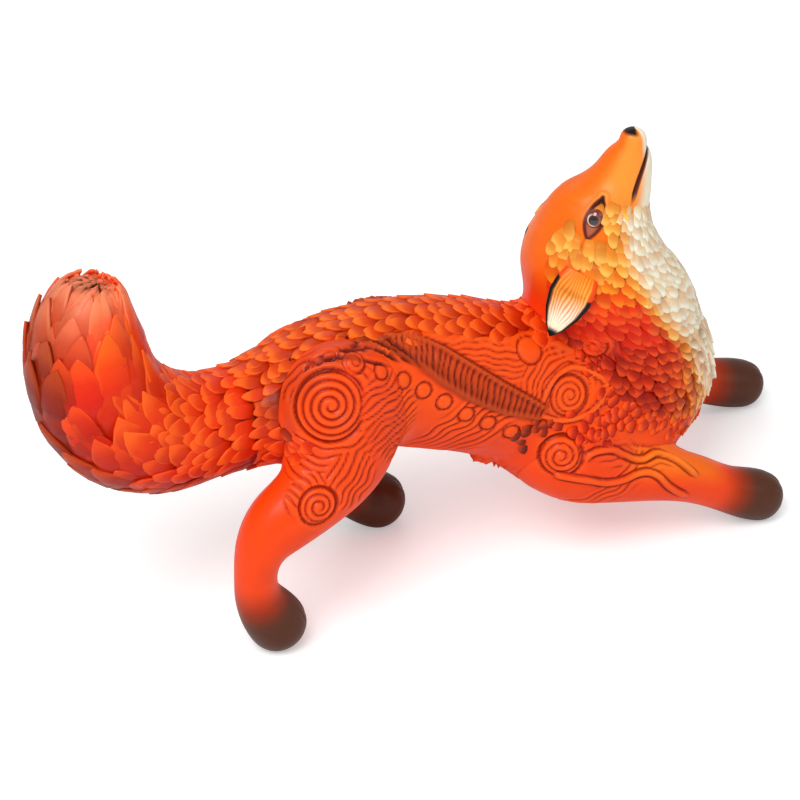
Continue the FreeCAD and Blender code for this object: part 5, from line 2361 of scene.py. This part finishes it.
@dataclass
class Studio:
    """A pale floor, soft light and the photograph's camera."""

    azimuth: float = -25.0
    elevation: float = 32.0
    distance: float = 811.0
    target: tuple = (-16.3, -4.3, 54.7)
    focal: float = 2898.5
    frame: float = 800.0
    sensor: float = 36.0
    floor_half: float = 3.0
    floor_glow: float = 0.35
    world_light: float = 0.45
    aim: tuple = (0.0, 0.0, 0.05)
    lamps: tuple = (
        ("key_light", (-0.7, -0.6, 1.2), 0.9, 0.7, 12.0),
        ("fill_light", (0.9, -0.9, 0.8), 1.2, 1.1, 3.2),
        ("back_light", (0.3, 1.1, 0.9), 1.2, 1.0, 3.0),
    )

    def build(self) -> None:
        """Sets the stage."""
        self._floor()
        self._world()
        for lamp in self.lamps:
            self._lamp(*lamp)
        self._camera()

    def _floor(self) -> None:
        """A wide floor under the paws that the camera sees as white, with the fox's shadow."""
        kit = Nodes(bpy.data.materials.new("floor_paint"))
        path = kit.node("ShaderNodeLightPath", {}, {}, "Is Camera Ray")
        grain = kit.noise(40.0)
        colour = kit.blend("MIX", grain, (0.86, 0.86, 0.86, 1.0), (0.9, 0.9, 0.9, 1.0))
        plain = kit.node("ShaderNodeBsdfDiffuse", {}, {"Color": colour})
        glow = kit.node("ShaderNodeEmission", {}, {"Color": WHITE, "Strength": self.floor_glow})
        both = kit.node("ShaderNodeAddShader", {}, {0: plain, 1: glow})
        shader = kit.node("ShaderNodeMixShader", {}, {0: path, 1: plain, 2: both})
        kit.node("ShaderNodeOutputMaterial", {}, {"Surface": shader})
        mesh = bpy.data.meshes.new("floor")
        half = self.floor_half
        corners = [(-half, -half, 0), (half, -half, 0), (half, half, 0), (-half, half, 0)]
        mesh.from_pydata(corners, [], [(0, 1, 2, 3)])
        floor = bpy.data.objects.new("floor", mesh)
        mesh.materials.append(kit.owner)
        bpy.context.scene.collection.objects.link(floor)

    def _world(self) -> None:
        """A plain world: white where the camera looks at it, dimmer as light."""
        kit = Nodes(bpy.data.worlds.new("studio"))
        seen = kit.node("ShaderNodeLightPath", {}, {}, "Is Camera Ray")
        lit = kit.node("ShaderNodeBackground", {}, {"Color": WHITE, "Strength": self.world_light})
        shown = kit.node("ShaderNodeBackground", {}, {"Color": WHITE, "Strength": 1.0})
        blend = kit.node("ShaderNodeMixShader", {}, {0: seen, 1: lit, 2: shown})
        kit.node("ShaderNodeOutputWorld", {}, {"Surface": blend})
        bpy.context.scene.world = kit.owner

    def _lamp(self, name: str, place: tuple, reach: float, size: float, power: float) -> None:
        """A square soft lamp that points at the fox.

        Args:
            name: the lamp's name.
            place: where it stands, counted in reaches.
            reach: how long one reach is.
            size: the length of its side.
            power: its power in watts.
        """
        lamp = bpy.data.lights.new(name, "AREA")
        lamp.size = size
        lamp.energy = power
        holder = bpy.data.objects.new(name, lamp)
        bpy.context.scene.collection.objects.link(holder)
        holder.location = Vector(place) * reach
        way = Vector(self.aim) - holder.location
        holder.rotation_euler = way.to_track_quat("-Z", "Y").to_euler()

    def _camera(self) -> None:
        """The camera at the photograph's angle: square frame, lens from the focal length in pixels."""
        camera = bpy.data.cameras.new("camera")
        camera.sensor_width = self.sensor
        camera.sensor_fit = "HORIZONTAL"
        camera.lens = self.focal * self.sensor / self.frame
        turn, rise = math.radians(self.azimuth), math.radians(self.elevation)
        back = Vector((math.sin(turn) * math.cos(rise), -math.cos(turn) * math.cos(rise), math.sin(rise)))
        holder = bpy.data.objects.new("camera", camera)
        bpy.context.scene.collection.objects.link(holder)
        holder.location = (Vector(self.target) + back * self.distance) * MM
        holder.rotation_euler = (-back).to_track_quat("-Z", "Y").to_euler()
        bpy.context.scene.camera = holder


def main() -> None:
    """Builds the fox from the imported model."""
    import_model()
    logging.basicConfig(level=logging.INFO, format="%(message)s")
    bpy.context.scene.view_settings.view_transform = "Standard"
    body = Body(make_forms())
    groups = [Trunk(body), Tail(body), Head(body)] + [Leg(body, plan) for plan in LEGS]
    groups += [Ear(-1, 13.0, 20.0), Ear(1, 0.0, 10.0), Eye(-1), Eye(1), Rods()]
    for group in groups:
        for piece in group.build():
            LOG.info("%s: %d faces", piece.name, len(piece.data.polygons))
    Studio().build()


if __name__ == "__main__":
    main()
